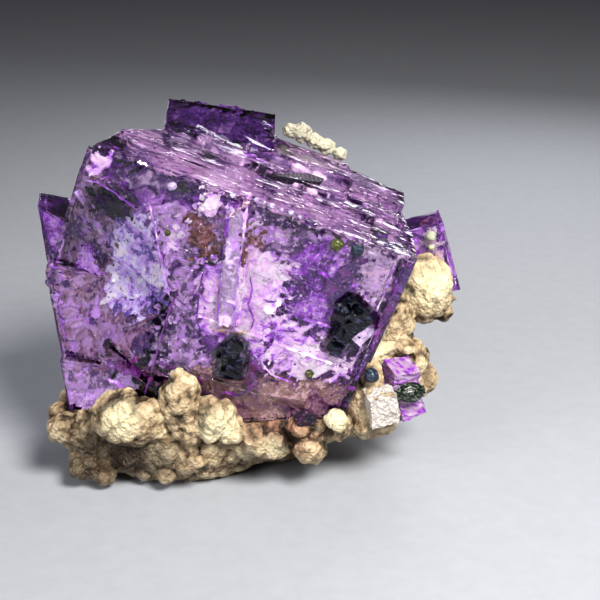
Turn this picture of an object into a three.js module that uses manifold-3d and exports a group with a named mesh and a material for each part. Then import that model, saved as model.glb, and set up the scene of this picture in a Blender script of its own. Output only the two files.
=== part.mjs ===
// Fluorite with calcite: a stepped violet fluorite cluster grown on a lumpy cream calcite crust.
// Millimetres, Z up. The origin is on the resting plane, under the middle of the specimen.
import * as THREE from "three";
import { ConvexGeometry } from "three/addons/geometries/ConvexGeometry.js";
import { mergeVertices } from "three/addons/utils/BufferGeometryUtils.js";
import Module from "manifold-3d";

const wasm = await Module();
wasm.setup();

// Driving dimensions of the main crystal, and how it leans on its crust
const CLEARANCE = 0.3;
const CRYSTAL_WIDTH = 20.4;
const CRYSTAL_DEPTH = 12;
const CRYSTAL_TOP = 6.2;
const SLAB_THICKNESS = 1.95;
const CRYSTAL_CENTRE = [-5.0, 0.9, 13.2];
const CRYSTAL_PITCH = 1;
const CRYSTAL_LEAN = 21.5;
const CRYSTAL_YAW = 4;
const UNDERSIDE_HEIGHT = 4.3;
const LEFT_END = -15.8;
const MIDDLE = [-3.25, 0.95];

// Places in the crystal's own frame: a to the right, b to the back, c up through the terraces
const LEFT = -CRYSTAL_WIDTH / 2;
const RIGHT = CRYSTAL_WIDTH / 2;
const FRONT = -CRYSTAL_DEPTH / 2;
const BACK = CRYSTAL_DEPTH / 2;
const SLAB_UNDERSIDE = CRYSTAL_TOP - SLAB_THICKNESS;
const KNEE_HEIGHT = -1.2;
const DEEPEST = -14;

const radians = THREE.MathUtils.degToRad;

// The crystal's frame, which leans to the right on its crust
const crystalFrame = new THREE.Group();
crystalFrame.position.set(...CRYSTAL_CENTRE);
crystalFrame.rotation.set(...[CRYSTAL_PITCH, CRYSTAL_LEAN, CRYSTAL_YAW].map(radians));
crystalFrame.updateMatrix();

const specimenFromCrystal = crystalFrame.matrix.toArray();
const crystalFromSpecimen = crystalFrame.matrix.clone().invert().toArray();

// A seeded source of numbers from 0 to 1, so that every build is the same
function seeded(seed) {
  let state = seed >>> 0;
  return () => {
    state = (Math.imul(state, 1664525) + 1013904223) >>> 0;
    return state / 4294967296;
  };
}

// A closed three.js geometry as a solid that can be joined and cut
function solidOf(geometry) {
  const bare = geometry.clone();
  bare.deleteAttribute("normal");
  bare.deleteAttribute("uv");
  const merged = mergeVertices(bare, 1e-4);
  const mesh = new wasm.Mesh({
    numProp: 3,
    vertProperties: new Float32Array(merged.attributes.position.array),
    triVerts: new Uint32Array(merged.index.array),
  });
  return new wasm.Manifold(mesh);
}

function joined(solids) {
  return solids.reduce((sum, solid) => sum.add(solid));
}

function without(solid, cutters) {
  return cutters.reduce((rest, cutter) => rest.subtract(cutter), solid);
}

// The biggest closed surface, without loose bits or hollows sealed between nodules
function biggest(solid) {
  return solid.decompose().reduce((big, body) => (body.volume() > big.volume() ? body : big));
}

function placed(geometry, at, turn = [0, 0, 0]) {
  const angles = new THREE.Euler(...turn.map(radians));
  const matrix = new THREE.Matrix4().makeRotationFromEuler(angles).setPosition(...at);
  return solidOf(geometry.applyMatrix4(matrix));
}

function block({ at, size, turn }) {
  return placed(new THREE.BoxGeometry(...size), at, turn);
}

// A flat plate with a convex outline in the a-b plane, from one height to another
function plate({ outline, low, high }) {
  const shape = new THREE.Shape(outline.map(([a, b]) => new THREE.Vector2(a, b)));
  const geometry = new THREE.ExtrudeGeometry(shape, { depth: high - low, bevelEnabled: false });
  return placed(geometry, [0, 0, low]);
}

function lump({ at, radii, detail }) {
  return placed(new THREE.IcosahedronGeometry(1, detail).scale(...radii), at);
}

// Cuts a solid along a plane and keeps the side that the outward normal points away from
function cleaved(solid, { normal, point }) {
  const inward = new THREE.Vector3(...normal).normalize().negate();
  return solid.trimByPlane(inward.toArray(), inward.dot(new THREE.Vector3(...point)));
}

// A convex solid with every face moved outwards by a clearance
function grown(solid, by = CLEARANCE) {
  const { vertProperties } = solid.getMesh();
  const points = [];
  for (let i = 0; i < vertProperties.length; i += 3) {
    const corner = new THREE.Vector3(...vertProperties.slice(i, i + 3));
    for (const a of [-by, by])
      for (const b of [-by, by])
        for (const c of [-by, by]) points.push(corner.clone().add(new THREE.Vector3(a, b, c)));
  }
  return solidOf(new ConvexGeometry(points));
}

// The slab is the crystal's top layer, and overhangs its front left corner
const slab = {
  outline: [
    [LEFT, FRONT],
    [RIGHT, FRONT],
    [RIGHT + 0.5, -1],
    [RIGHT + 0.4, BACK + 0.4],
    [-4.6, BACK + 0.4],
    [-6.2, 2.7],
    [-8.7, -0.2],
  ],
  low: SLAB_UNDERSIDE,
  high: CRYSTAL_TOP,
};

// Under the slab the corner is cleaved twice, and the two cleavages meet at the knee
const neck = {
  outline: [
    [-10.4, FRONT],
    [RIGHT, FRONT],
    [RIGHT, BACK],
    [-6.8, BACK],
    [-9.0, 1.6],
    [-10.2, -1.4],
  ],
  low: KNEE_HEIGHT,
  high: SLAB_UNDERSIDE + 0.2,
};
const neckCleavage = { normal: [-0.56, -0.757, -0.333], point: [-3.1, FRONT, KNEE_HEIGHT] };

const foot = {
  outline: [
    [-2.4, FRONT],
    [RIGHT - 0.2, FRONT],
    [RIGHT, BACK - 0.5],
    [-9.0, BACK],
    [-12.8, 4.0],
    [-12.8, 1.8],
  ],
  low: DEEPEST,
  high: KNEE_HEIGHT + 0.1,
};

// Growth terraces on the slab, each a little smaller than the one under it
const terraces = [
  {
    outline: [
      [-8.2, -4.7],
      [2.2, -5.0],
      [8.9, -3.6],
      [9.8, 1.0],
      [9.4, BACK + 0.2],
      [-4.4, BACK + 0.2],
      [-6.4, 1.8],
      [-8.8, -1.6],
    ],
    low: SLAB_UNDERSIDE,
    high: CRYSTAL_TOP + 0.28,
  },
  {
    outline: [
      [-5.8, -2.9],
      [5.4, -3.4],
      [8.6, -1.0],
      [8.8, BACK],
      [-4.2, BACK],
      [-6.0, 1.2],
    ],
    low: SLAB_UNDERSIDE,
    high: CRYSTAL_TOP + 0.55,
  },
  {
    outline: [
      [-2.6, -0.9],
      [4.2, -1.5],
      [7.4, 0.9],
      [7.9, BACK + 0.1],
      [-3.8, BACK + 0.1],
      [-4.6, 1.9],
    ],
    low: SLAB_UNDERSIDE,
    high: CRYSTAL_TOP + 0.95,
  },
  {
    outline: [
      [-0.8, 1.6],
      [5.0, 1.2],
      [6.4, 2.7],
      [6.2, BACK],
      [-2.6, BACK],
    ],
    low: SLAB_UNDERSIDE,
    high: CRYSTAL_TOP + 1.45,
  },
  {
    outline: [
      [7.2, 3.4],
      [10.4, 2.8],
      [10.9, BACK + 0.3],
      [6.6, BACK + 0.3],
    ],
    low: SLAB_UNDERSIDE,
    high: CRYSTAL_TOP + 0.75,
  },
];

// A tilted crystal stands on the back of the top, and low growth hillocks lie on the front face
const topCrystal = { at: [-2.6, 4.3, CRYSTAL_TOP], size: [7.2, 4.4, 3.0], turn: [18, -12, 3] };
const hillocks = [
  { at: [4.1, FRONT, -3.7], size: [10.6, 0.5, 3.6], turn: [0, 1.5, 0] },
  { at: [7.2, FRONT, 3.6], size: [3.6, 0.4, 4.0], turn: [0, -3, 0] },
];
const rib = { at: [-0.14, FRONT, 2.1], size: [1.3, 0.8, 7.9], turn: [0, -14.5, 0] };
const fin = { at: [9.75, FRONT + 0.3, 1.6], size: [0.55, 1.2, 8.2], turn: [0, 1.5, 0] };

// Crystals with their own lean beside the main one, in the specimen's frame
const neighbours = [
  { at: [-13.1, 2.5, 14.6], size: [5.0, 6.0, 9.2], turn: [0, 20, 4] },
  { at: [-13.9, 1.7, 8.8], size: [5.4, 7.4, 8.8], turn: [0, 13, -7] },
  { at: [-12.9, 0.0, 6.0], size: [6.0, 7.2, 3.2], turn: [0, 6, -4] },
  { at: [8.1, 4.6, 12.2], size: [4.3, 3.5, 4.8], turn: [0, -16, 0] },
  { at: [-5.8, 5.9, 13.4], size: [6.4, 3.6, 5.4], turn: [0, 34, 8] },
  { at: [0.6, 6.3, 12.6], size: [4.4, 3.0, 6.2], turn: [4, 14, -7] },
  { at: [-10.6, 4.9, 15.2], size: [4.6, 3.6, 4.6], turn: [-6, 44, 12] },
  { at: [4.6, 6.5, 12.4], size: [3.2, 2.6, 3.4], turn: [10, 30, 20] },
];

// Grooves along the growth step low on the front, and shallow pits in the top
const grooves = [
  { at: [-1.0, FRONT, -6.5], size: [3.0, 1.4, 0.35], turn: [18, -8, 0] },
  { at: [-3.9, -4.9, -6.8], size: [3.6, 1.4, 0.45], turn: [0, 10, -37] },
];
const pits = [
  { at: [2.2, -0.3, CRYSTAL_TOP + 1.0], size: [2.8, 1.0, 0.9], turn: [-14, -4, 34] },
  { at: [-3.6, -2.0, CRYSTAL_TOP + 0.6], size: [1.0, 0.7, 0.5], turn: [0, 8, 20] },
  { at: [0.3, -2.2, CRYSTAL_TOP + 0.6], size: [1.1, 0.6, 0.5], turn: [0, 5, 10] },
  { at: [6.8, 0.2, CRYSTAL_TOP + 0.6], size: [1.9, 1.3, 0.8], turn: [12, 0, 25] },
];

// Dark grains that sit in open pits in the front face
const rightGrain = [
  { at: [8.0, FRONT + 0.05, 1.7], size: [2.1, 1.0, 1.1], turn: [0, 28, 10] },
  { at: [7.9, FRONT + 0.05, 0.3], size: [1.0, 0.9, 3.0], turn: [0, 12, -8] },
];
const lowGrain = [
  { at: [1.6, FRONT - 0.1, -3.3], size: [0.75, 0.9, 1.7], turn: [0, 22, 12] },
  { at: [2.1, FRONT - 0.1, -4.4], size: [1.3, 0.9, 1.1], turn: [0, -14, -10] },
];

// Pale grains on the back ridge, in the specimen's frame
const backGrains = [
  { at: [-0.7, 6.9, 20.5], radius: 0.55 },
  { at: [0.1, 7.0, 20.3], radius: 0.78 },
  { at: [1.0, 7.1, 19.7], radius: 0.62 },
  { at: [1.8, 7.2, 19.3], radius: 0.66 },
  { at: [2.7, 7.2, 18.8], radius: 0.55 },
];

// A small violet crystal pair on the right of the crust, in the specimen's frame
const smallPair = [
  { at: [6.4, -2.7, 6.6], size: [1.9, 1.9, 1.7], turn: [12, 8, 24] },
  { at: [6.7, -2.6, 4.9], size: [1.9, 1.9, 2.3], turn: [-8, -12, 30] },
];

const crystalPieces = [
  plate(slab),
  cleaved(plate(neck), neckCleavage),
  plate(foot),
  block(topCrystal),
  ...neighbours.map((neighbour) => block(neighbour).transform(crystalFromSpecimen)),
];

// Everything of the fluorite lies above its underside and to the right of its left end
function inSpecimen(solid, grow = 0) {
  const standing = solid
    .transform(specimenFromCrystal)
    .trimByPlane([0, 0, 1], UNDERSIDE_HEIGHT - grow);
  return cleaved(standing, { normal: [-1, -0.14, -0.12], point: [LEFT_END - grow, 0, 9] });
}

function fluoriteCrystal() {
  const relief = [...terraces.map(plate), ...[...hillocks, rib, fin].map(block)];
  const grainPits = [...rightGrain, ...lowGrain].map((grain) => grown(block(grain)));
  const cuts = [...grooves, ...pits].map(block);
  const whole = without(joined([...crystalPieces, ...relief]), [...cuts, ...grainPits]);
  const ridgePits = backGrains.map((grain) => grown(nodule(grain)));
  return without(inSpecimen(whole), ridgePits);
}

// Calcite masses, from the base that it rests on to the lump beside the top
const masses = [
  { at: [-8.0, -0.4, 2.5], radii: [7.6, 5.6, 3.5], detail: 3 },
  { at: [-2.4, 1.0, 2.2], radii: [4.6, 4.2, 3.1], detail: 2 },
  { at: [-0.5, -0.4, 3.7], radii: [6.5, 4.9, 1.9], detail: 2 },
  { at: [4.6, 0.2, 5.6], radii: [3.4, 4.4, 3.0], detail: 2 },
  { at: [5.9, 1.4, 8.6], radii: [1.7, 2.6, 3.0], detail: 2 },
  { at: [8.3, 2.2, 10.8], radii: [1.85, 2.0, 2.3], detail: 2 },
  { at: [-12.4, -0.8, 3.0], radii: [3.8, 4.6, 2.9], detail: 2 },
  { at: [-10.8, 3.9, 5.0], radii: [4.6, 3.4, 4.4], detail: 2 },
  { at: [-3.4, 5.4, 6.2], radii: [6.2, 3.0, 4.9], detail: 2 },
  { at: [3.6, 4.2, 6.8], radii: [3.6, 3.2, 4.2], detail: 2 },
  { at: [4.9, -3.4, 4.6], radii: [1.8, 1.7, 1.6], detail: 2 },
  { at: [6.6, -0.7, 6.9], radii: [1.7, 1.6, 1.6], detail: 2 },
  { at: [7.7, -0.5, 5.5], radii: [1.3, 1.3, 1.2], detail: 2 },
  { at: [-10.6, -5.0, 4.9], radii: [2.4, 2.1, 1.8], detail: 2 },
  { at: [-7.4, -5.2, 6.0], radii: [1.3, 1.3, 2.2], detail: 2 },
];

// Colonies of nodules that grow out of the masses
const colonies = [
  { at: [-5.1, -5.7, 4.6], spread: [1.1, 0.6, 1.5], count: 13, radius: [0.65, 1.0], seed: 3 },
  { at: [-1.6, -5.2, 3.4], spread: [2.6, 0.5, 0.6], count: 13, radius: [0.65, 0.95], seed: 5 },
  { at: [1.4, -4.9, 3.2], spread: [1.6, 0.7, 0.9], count: 9, radius: [0.65, 0.95], seed: 8 },
  { at: [2.3, -5.5, 5.1], spread: [0.5, 0.4, 0.6], count: 4, radius: [0.5, 0.8], seed: 11 },
  { at: [4.6, -4.4, 3.6], spread: [1.2, 0.5, 0.5], count: 5, radius: [0.45, 0.7], seed: 14 },
  { at: [-11.0, -5.0, 1.5], spread: [3.8, 0.7, 0.7], count: 15, radius: [0.6, 0.95], seed: 17 },
  { at: [-14.6, -3.4, 3.6], spread: [0.9, 1.2, 1.2], count: 6, radius: [0.6, 1.0], seed: 20 },
  { at: [-7.6, -5.4, 3.2], spread: [1.6, 0.4, 1.2], count: 6, radius: [0.65, 0.95], seed: 23 },
  { at: [-4.8, -4.6, 2.2], spread: [2.6, 0.5, 0.7], count: 7, radius: [0.7, 1.0], seed: 24 },
  { at: [7.4, -0.2, 6.4], spread: [0.6, 1.0, 1.1], count: 6, radius: [0.5, 0.85], seed: 26 },
  { at: [9.4, 2.6, 10.2], spread: [0.6, 0.9, 1.2], count: 4, radius: [0.5, 0.8], seed: 29 },
  { at: [-3.4, 7.6, 6.4], spread: [4.2, 0.5, 2.6], count: 10, radius: [0.8, 1.2], seed: 32 },
  { at: [4.6, 5.9, 7.0], spread: [1.8, 0.7, 2.2], count: 7, radius: [0.7, 1.1], seed: 35 },
  { at: [-11.4, 6.0, 5.6], spread: [2.4, 0.6, 1.8], count: 7, radius: [0.7, 1.1], seed: 38 },
  { at: [-14.8, 1.6, 4.2], spread: [0.6, 2.6, 1.4], count: 6, radius: [0.7, 1.0], seed: 41 },
];

// A white cleavage rhomb stands out of the right lobe
const rhomb = { at: [5.1, -4.6, 5.4], size: [1.75, 1.6, 1.9], turn: [6, -6, 14] };

function nodule({ at, radius, turn }) {
  return placed(new THREE.DodecahedronGeometry(radius), at, turn);
}

function nodules({ at, spread, count, radius, seed }) {
  const random = seeded(seed);
  const between = ([least, most]) => least + (most - least) * random();
  return Array.from({ length: count }, () => {
    const place = at.map((middle, axis) => middle + spread[axis] * (2 * random() - 1));
    const turn = spread.map(() => 360 * random());
    return nodule({ at: place, radius: between(radius), turn });
  });
}

function calciteCrust() {
  const growth = [...masses.map(lump), ...colonies.flatMap(nodules), block(rhomb)];
  const pockets = crystalPieces.map((piece) => inSpecimen(grown(piece), CLEARANCE));
  const smallPockets = smallPair.map((crystal) => grown(block(crystal)));
  const crust = without(joined(growth), [...pockets, ...smallPockets]);
  return biggest(crust.trimByPlane([0, 0, 1], 0));
}

function namedMesh(name, solid, look) {
  const { numProp, vertProperties, triVerts } = solid.getMesh();
  const indexed = new THREE.BufferGeometry();
  indexed.setAttribute("position", new THREE.BufferAttribute(vertProperties, numProp));
  indexed.setIndex(new THREE.BufferAttribute(triVerts, 1));
  const geometry = indexed.toNonIndexed();
  geometry.computeVertexNormals();
  const mesh = new THREE.Mesh(geometry, new THREE.MeshStandardMaterial(look));
  mesh.name = name;
  return mesh;
}

const violet = { color: "#7d4fb8", roughness: 0.12, metalness: 0 };
const cream = { color: "#d8bd8a", roughness: 0.55, metalness: 0 };
const dark = { color: "#17131c", roughness: 0.25, metalness: 0 };

const fluorite = namedMesh("fluorite_crystal", fluoriteCrystal(), violet);
const calcite = namedMesh("calcite_crust", calciteCrust(), cream);
const fluoriteSmall = namedMesh("fluorite_small", joined(smallPair.map(block)), violet);
const grainsBack = namedMesh("calcite_grains_back", joined(backGrains.map(nodule)), cream);
const grainRight = namedMesh("dark_grain_right", joined(rightGrain.map(block)), dark);
const grainLow = namedMesh("dark_grain_low", joined(lowGrain.map(block)), dark);

crystalFrame.add(grainRight, grainLow);

// The specimen stands with the middle of its outline over the origin
const specimen = new THREE.Group();
specimen.position.set(-MIDDLE[0], -MIDDLE[1], 0);
specimen.add(crystalFrame, fluorite, calcite, fluoriteSmall, grainsBack);

const part = new THREE.Group();
part.add(specimen);

export default part;
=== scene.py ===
"""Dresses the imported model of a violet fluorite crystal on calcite, and sets it on a plain studio stage."""

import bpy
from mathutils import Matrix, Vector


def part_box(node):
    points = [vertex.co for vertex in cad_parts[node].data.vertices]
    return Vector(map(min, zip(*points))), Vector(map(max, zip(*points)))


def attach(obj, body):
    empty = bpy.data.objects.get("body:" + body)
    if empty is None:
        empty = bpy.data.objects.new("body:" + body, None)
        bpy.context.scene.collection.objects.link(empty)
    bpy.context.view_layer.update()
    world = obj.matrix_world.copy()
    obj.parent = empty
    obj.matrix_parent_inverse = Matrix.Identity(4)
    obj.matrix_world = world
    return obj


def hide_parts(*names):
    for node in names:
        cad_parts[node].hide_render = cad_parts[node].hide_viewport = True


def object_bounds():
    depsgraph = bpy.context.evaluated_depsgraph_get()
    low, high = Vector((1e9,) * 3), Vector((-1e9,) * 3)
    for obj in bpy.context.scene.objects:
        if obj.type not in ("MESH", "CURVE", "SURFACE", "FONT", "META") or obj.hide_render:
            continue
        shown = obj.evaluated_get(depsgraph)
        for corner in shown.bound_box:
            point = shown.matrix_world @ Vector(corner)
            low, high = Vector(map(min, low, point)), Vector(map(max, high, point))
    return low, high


bl_info = {
    "name": "Fluorite with calcite",
    "version": (1, 0, 0),
    "blender": (4, 5, 0),
    "location": "View3D > Sidebar > Specimen",
    "description": "Makes the violet fluorite, its inner fractures, the calcite crust and the small grains",
    "category": "Object",
}

import math

import bmesh
import bpy
import numpy as np
from bpy.props import FloatProperty, FloatVectorProperty, IntProperty, PointerProperty
from mathutils import Matrix, Vector, noise
from mathutils.bvhtree import BVHTree
from mathutils.kdtree import KDTree

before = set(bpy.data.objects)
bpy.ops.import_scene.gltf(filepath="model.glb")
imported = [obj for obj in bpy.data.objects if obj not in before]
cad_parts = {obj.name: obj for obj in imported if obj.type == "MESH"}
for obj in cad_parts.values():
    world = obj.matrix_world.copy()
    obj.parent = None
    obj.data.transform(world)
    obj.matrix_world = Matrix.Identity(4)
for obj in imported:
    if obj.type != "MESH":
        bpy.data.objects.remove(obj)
CAD_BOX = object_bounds()

MM = 0.001

# Points of a CAD node that are nearer than this are welded, in millimetres
WELD_DISTANCE = 2e-4

# How often long edges are cut in half, at most
SPLIT_ROUNDS = 7

# The main crystal's own frame, in millimetres: x along its front edge, y to the back and z up through
# the terraces
CRYSTAL_CENTRE = (-1.75, -0.05, 13.2)
CRYSTAL_TURN = (1, 21.5, 4)
CRYSTAL_FRONT = -6.0
CRYSTAL_TOP = 6.2
CLEAVAGE_POINT = (-3.1, CRYSTAL_FRONT, -1.2)
CLEAVAGE_NORMAL = (-0.56, -0.757, -0.333)

# The camera stands where the photograph was taken from
CAMERA_AIM = (3.25, -0.95, 10.8)
CAMERA_DISTANCE = 80
CAMERA_ELEVATION = 20
FRAME_WIDTH = 39
SENSOR_WIDTH = 36


def turned(degrees):
    """A turn about x, then y, then z, each about the axis that the turn before it left."""
    x, y, z = (math.radians(angle) for angle in degrees)
    return Matrix.Rotation(x, 4, "X") @ Matrix.Rotation(y, 4, "Y") @ Matrix.Rotation(z, 4, "Z")


CRYSTAL_PLACE = Matrix.Translation(Vector(CRYSTAL_CENTRE) * MM) @ turned(CRYSTAL_TURN)
SPECIMEN_PLACE = Matrix.Identity(4)


def in_crystal(points):
    """Points of the specimen's frame in the main crystal's frame, all in millimetres."""
    turn = np.array(CRYSTAL_PLACE.to_3x3())
    return (points - np.array(CRYSTAL_CENTRE)) @ turn


def from_crystal(point):
    """A place in the main crystal's frame, in the specimen's frame, all in millimetres."""
    return np.array(CRYSTAL_PLACE @ (Vector(point) * MM)) / MM


# Meshes

def link_piece(name, mesh):
    """An object for a mesh, in the scene."""
    piece = bpy.data.objects.new(name, mesh)
    bpy.context.scene.collection.objects.link(piece)
    return piece


def new_piece(name, points, faces, place=SPECIMEN_PLACE):
    """An object from points in millimetres, in the frame that place gives."""
    mesh = bpy.data.meshes.new(name)
    mesh.from_pydata((np.asarray(points, float) * MM).tolist(), [], faces)
    mesh.transform(place)
    mesh.update()
    return link_piece(name, mesh)


def node_copy(node, name):
    """The welded surface of a CAD node as a new object."""
    shell = bmesh.new()
    shell.from_mesh(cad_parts[node].data)
    bmesh.ops.remove_doubles(shell, verts=shell.verts, dist=WELD_DISTANCE * MM)
    bmesh.ops.dissolve_limit(shell, angle_limit=0.002, verts=shell.verts, edges=shell.edges)
    bmesh.ops.triangulate(shell, faces=shell.faces)
    mesh = bpy.data.meshes.new(name)
    shell.to_mesh(mesh)
    shell.free()
    return link_piece(name, mesh)


def apply_modifiers(piece):
    """Turns the piece's modifiers into mesh."""
    graph = bpy.context.evaluated_depsgraph_get()
    mesh = bpy.data.meshes.new_from_object(piece.evaluated_get(graph))
    piece.modifiers.clear()
    piece.data = mesh


def combine(piece, others, operation):
    """Joins the others to the piece, or cuts them from it, and removes them."""
    for other in others:
        step = piece.modifiers.new("combine", "BOOLEAN")
        step.solver = "MANIFOLD"
        step.operation = operation
        step.object = other
    apply_modifiers(piece)
    for other in others:
        bpy.data.objects.remove(other)


def thicken(piece, thickness, offset=-1):
    """Gives a sheet a thickness in millimetres: under it, over it (1), or half to each side (0)."""
    step = piece.modifiers.new("thickness", "SOLIDIFY")
    step.thickness = thickness * MM
    step.offset = offset
    apply_modifiers(piece)


def remesh(piece, voxel):
    """Makes the piece's mesh even, with points a distance in millimetres apart."""
    step = piece.modifiers.new("remesh", "REMESH")
    step.mode = "VOXEL"
    step.voxel_size = voxel * MM
    apply_modifiers(piece)


def split_long_edges(piece, longest):
    """Cuts the edges over a length in half, round by round, so that flat faces can carry relief."""
    shell = bmesh.new()
    shell.from_mesh(piece.data)
    bmesh.ops.triangulate(shell, faces=shell.faces)
    for _ in range(SPLIT_ROUNDS):
        long_edges = [edge for edge in shell.edges if edge.calc_length() > longest * MM]
        bmesh.ops.subdivide_edges(shell, edges=long_edges, cuts=1)
        bmesh.ops.triangulate(shell, faces=shell.faces)
    shell.to_mesh(piece.data)
    shell.free()


def points_of(piece):
    """The piece's points, in millimetres."""
    points = np.empty(len(piece.data.vertices) * 3, np.float32)
    piece.data.vertices.foreach_get("co", points)
    return points.reshape(-1, 3).astype(float) / MM


def normals_of(piece):
    """The directions that the piece's points face."""
    normals = np.empty(len(piece.data.vertices) * 3, np.float32)
    piece.data.vertex_normals.foreach_get("vector", normals)
    return normals.reshape(-1, 3).astype(float)


def move_points(piece, points):
    """Puts the piece's points at new places, in millimetres."""
    piece.data.vertices.foreach_set("co", (points * MM).astype(np.float32).ravel())
    piece.data.update()


def push(piece, distance):
    """Moves every point along its normal, by a distance in millimetres for each."""
    move_points(piece, points_of(piece) + normals_of(piece) * distance[:, None])


def mark(piece, name, values):
    """Keeps a number for every point, which the piece's material reads."""
    layer = piece.data.attributes.new(name, "FLOAT", "POINT")
    layer.data.foreach_set("value", np.asarray(values, np.float32))


def mark_evenly(piece, **values):
    """Keeps the same numbers for every point."""
    for name, value in values.items():
        mark(piece, name, np.full(len(piece.data.vertices), value))


def round_over(piece, sharpest):
    """Shades the piece smooth, apart from edges that turn by more than an angle in degrees."""
    piece.data.polygons.foreach_set("use_smooth", np.ones(len(piece.data.polygons), bool))
    piece.data.set_sharp_from_angle(angle=math.radians(sharpest))


def finish_piece(piece, material):
    """Gives the piece its material and sets it on the specimen."""
    piece.data.materials.clear()
    piece.data.materials.append(material)
    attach(piece, "root")


def prism(name, outline, low, high, place):
    """A plate with an outline in x and y, up to one height, or to a height for each corner."""
    count = len(outline)
    tops = np.broadcast_to(high, count)
    points = [(x, y, low) for x, y in outline] + [(x, y, top) for (x, y), top in zip(outline, tops)]
    sides = [(i, (i + 1) % count, (i + 1) % count + count, i + count) for i in range(count)]
    caps = [tuple(reversed(range(count))), tuple(range(count, 2 * count))]
    return new_piece(name, points, sides + caps, place)


def turned_block(name, at, size, turn, place):
    """A block with its middle, its sizes in millimetres and its turn in degrees."""
    half = np.array(size) / 2
    corners = [(x, y, z) for z in (-1, 1) for x, y in ((-1, -1), (1, -1), (1, 1), (-1, 1))]
    faces = [(3, 2, 1, 0), (4, 5, 6, 7), (0, 1, 5, 4), (1, 2, 6, 5), (2, 3, 7, 6), (3, 0, 4, 7)]
    turn_matrix = np.array(turned(turn).to_3x3())
    points = [turn_matrix @ (np.array(corner) * half) + np.array(at) for corner in corners]
    return new_piece(name, points, faces, place)


def grid_corners(shape):
    """The numbers of the four corner points of every cell in a grid of points."""
    number = np.arange(shape[0] * shape[1]).reshape(shape)
    return np.stack([number[:-1, :-1], number[1:, :-1], number[1:, 1:], number[:-1, 1:]], -1)


# Patterns

def smooth_noise(points, size, seed):
    """Soft noise from about -1 to 1 at each point, with features of a size in millimetres."""
    shift = Vector((seed * 7.3, seed * 3.1, seed * 5.7))
    return np.array([noise.noise(Vector(point) / size + shift) for point in points])


def nodule_height(points, size, seed):
    """Round-topped nodules of a size in millimetres: 1 on a top, and down to 0 in the creases."""
    shift = Vector((seed * 2.7, seed * 4.9, seed * 1.3))
    nearest = np.array([noise.voronoi(Vector(point) / size + shift)[0][0] for point in points])
    return np.sqrt(np.clip(1 - (nearest / 0.8) ** 2, 0, 1))


def warped(places, size, amount, random):
    """Bends a plane pattern, so that its cells get uneven outlines."""
    bent = places.copy()
    for _ in range(3):
        direction = random.uniform(-1, 1, 2) / size * 2
        phase = random.uniform(0, 6.3)
        shift = random.uniform(-amount, amount, 2)
        bent += np.sin(places @ direction * 3.1 + phase)[:, None] * shift
    return bent


def broken_facets(places, size, slope, lift, random):
    """Flat facets with their own tilts: each place's height, its share of a crease, and its facet's shade."""
    low, high = places.min(0), places.max(0)
    count = max(4, int(np.prod(high - low) / size**2))
    centres = random.uniform(low - size, high + size, (count * 2, 2))
    tilts = random.uniform(-slope, slope, (len(centres), 2))
    lifts = random.uniform(-lift, lift, len(centres))
    shades = random.uniform(0, 1, len(centres))
    tree = KDTree(len(centres))
    for number, (x, y) in enumerate(centres):
        tree.insert((x, y, 0), number)
    tree.balance()
    found = [tree.find_n((x, y, 0), 2) for x, y in places]
    nearest = np.array([first[1] for first, _ in found])
    crease = np.array([second[2] - first[2] for first, second in found])
    height = lifts[nearest] + np.sum(tilts[nearest] * (places - centres[nearest]), axis=1)
    return height, crease, shades[nearest]


def inside_depth(places, outline):
    """How far each place lies inside a closed outline, in millimetres, and negative outside it."""
    corners = np.array(outline, float)
    ends = np.roll(corners, -1, axis=0)
    inside = np.zeros(len(places), bool)
    nearest = np.full(len(places), np.inf)
    for start, end in zip(corners, ends):
        side = end - start
        along = np.clip((places - start) @ side / (side @ side), 0, 1)
        nearest = np.minimum(nearest, np.linalg.norm(places - start - along[:, None] * side, axis=1))
        crosses = (start[1] > places[:, 1]) != (end[1] > places[:, 1])
        slope = side[0] / (side[1] if side[1] else 1e-9)
        inside ^= crosses & (places[:, 0] < start[0] + (places[:, 1] - start[1]) * slope)
    return np.where(inside, nearest, -nearest)


# Colours of the fluorite's broken faces
BLACK = (0.012, 0.008, 0.018)
DEEP = (0.055, 0.012, 0.13)
WINE = (0.1, 0.006, 0.06)
PLUM = (0.16, 0.015, 0.2)
MAGENTA = (0.24, 0.015, 0.3)
VIOLET = (0.32, 0.04, 0.6)
LILAC = (0.7, 0.4, 0.94)
PINK = (0.96, 0.7, 0.94)
WHITE = (1.0, 0.96, 1.0)
# Blue-white of painted highlights
GLINT_ICE = (0.74, 0.74, 1.0)
INDIGO = (0.12, 0.07, 0.4)
MAUVE = (0.47, 0.27, 0.5)
PALE_MAUVE = (0.8, 0.66, 0.84)
DUSK = (0.12, 0.06, 0.19)
GREY_LILAC = (0.47, 0.35, 0.55)
UMBER = (0.08, 0.02, 0.015)
RUST = (0.2, 0.055, 0.035)
MAUVE_BROWN = (0.33, 0.18, 0.25)
BROWN_PINK = (0.32, 0.2, 0.13)
ROSE_BROWN = (0.47, 0.35, 0.22)
PEACH = (0.9, 0.68, 0.62)


# Materials

# How far patterns are drawn out along the crystal's axes, and how far each of the light's colours wanders
# in calcite
SKIN_STRETCH = (6, 0.5, 0.5)
STRIPE_STRETCH = (1, 1, 0.25)
SMALL_CRYSTAL_STRETCH = (1, 1, 0.3)
GLOW_RADIUS = (1.0, 0.7, 0.4)

# The painted white glints and the gloss of most broken faces
USUAL_PAINTED_GLINTS = 0.5
USUAL_GLOSS = 0.5


def new_material(name):
    """A material with its tree and its Principled shader."""
    material = bpy.data.materials.new(name)
    material.use_nodes = True
    tree = material.node_tree
    return material, tree, tree.nodes["Principled BSDF"]


def set_finish(shader, **values):
    """Sets the shader's own sockets by their names."""
    for name, value in values.items():
        shader.inputs[name.replace("_", " ").title().replace("Ior", "IOR")].default_value = value


def rgba(colour):
    """A colour with full opacity."""
    return (*colour, 1)


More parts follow.
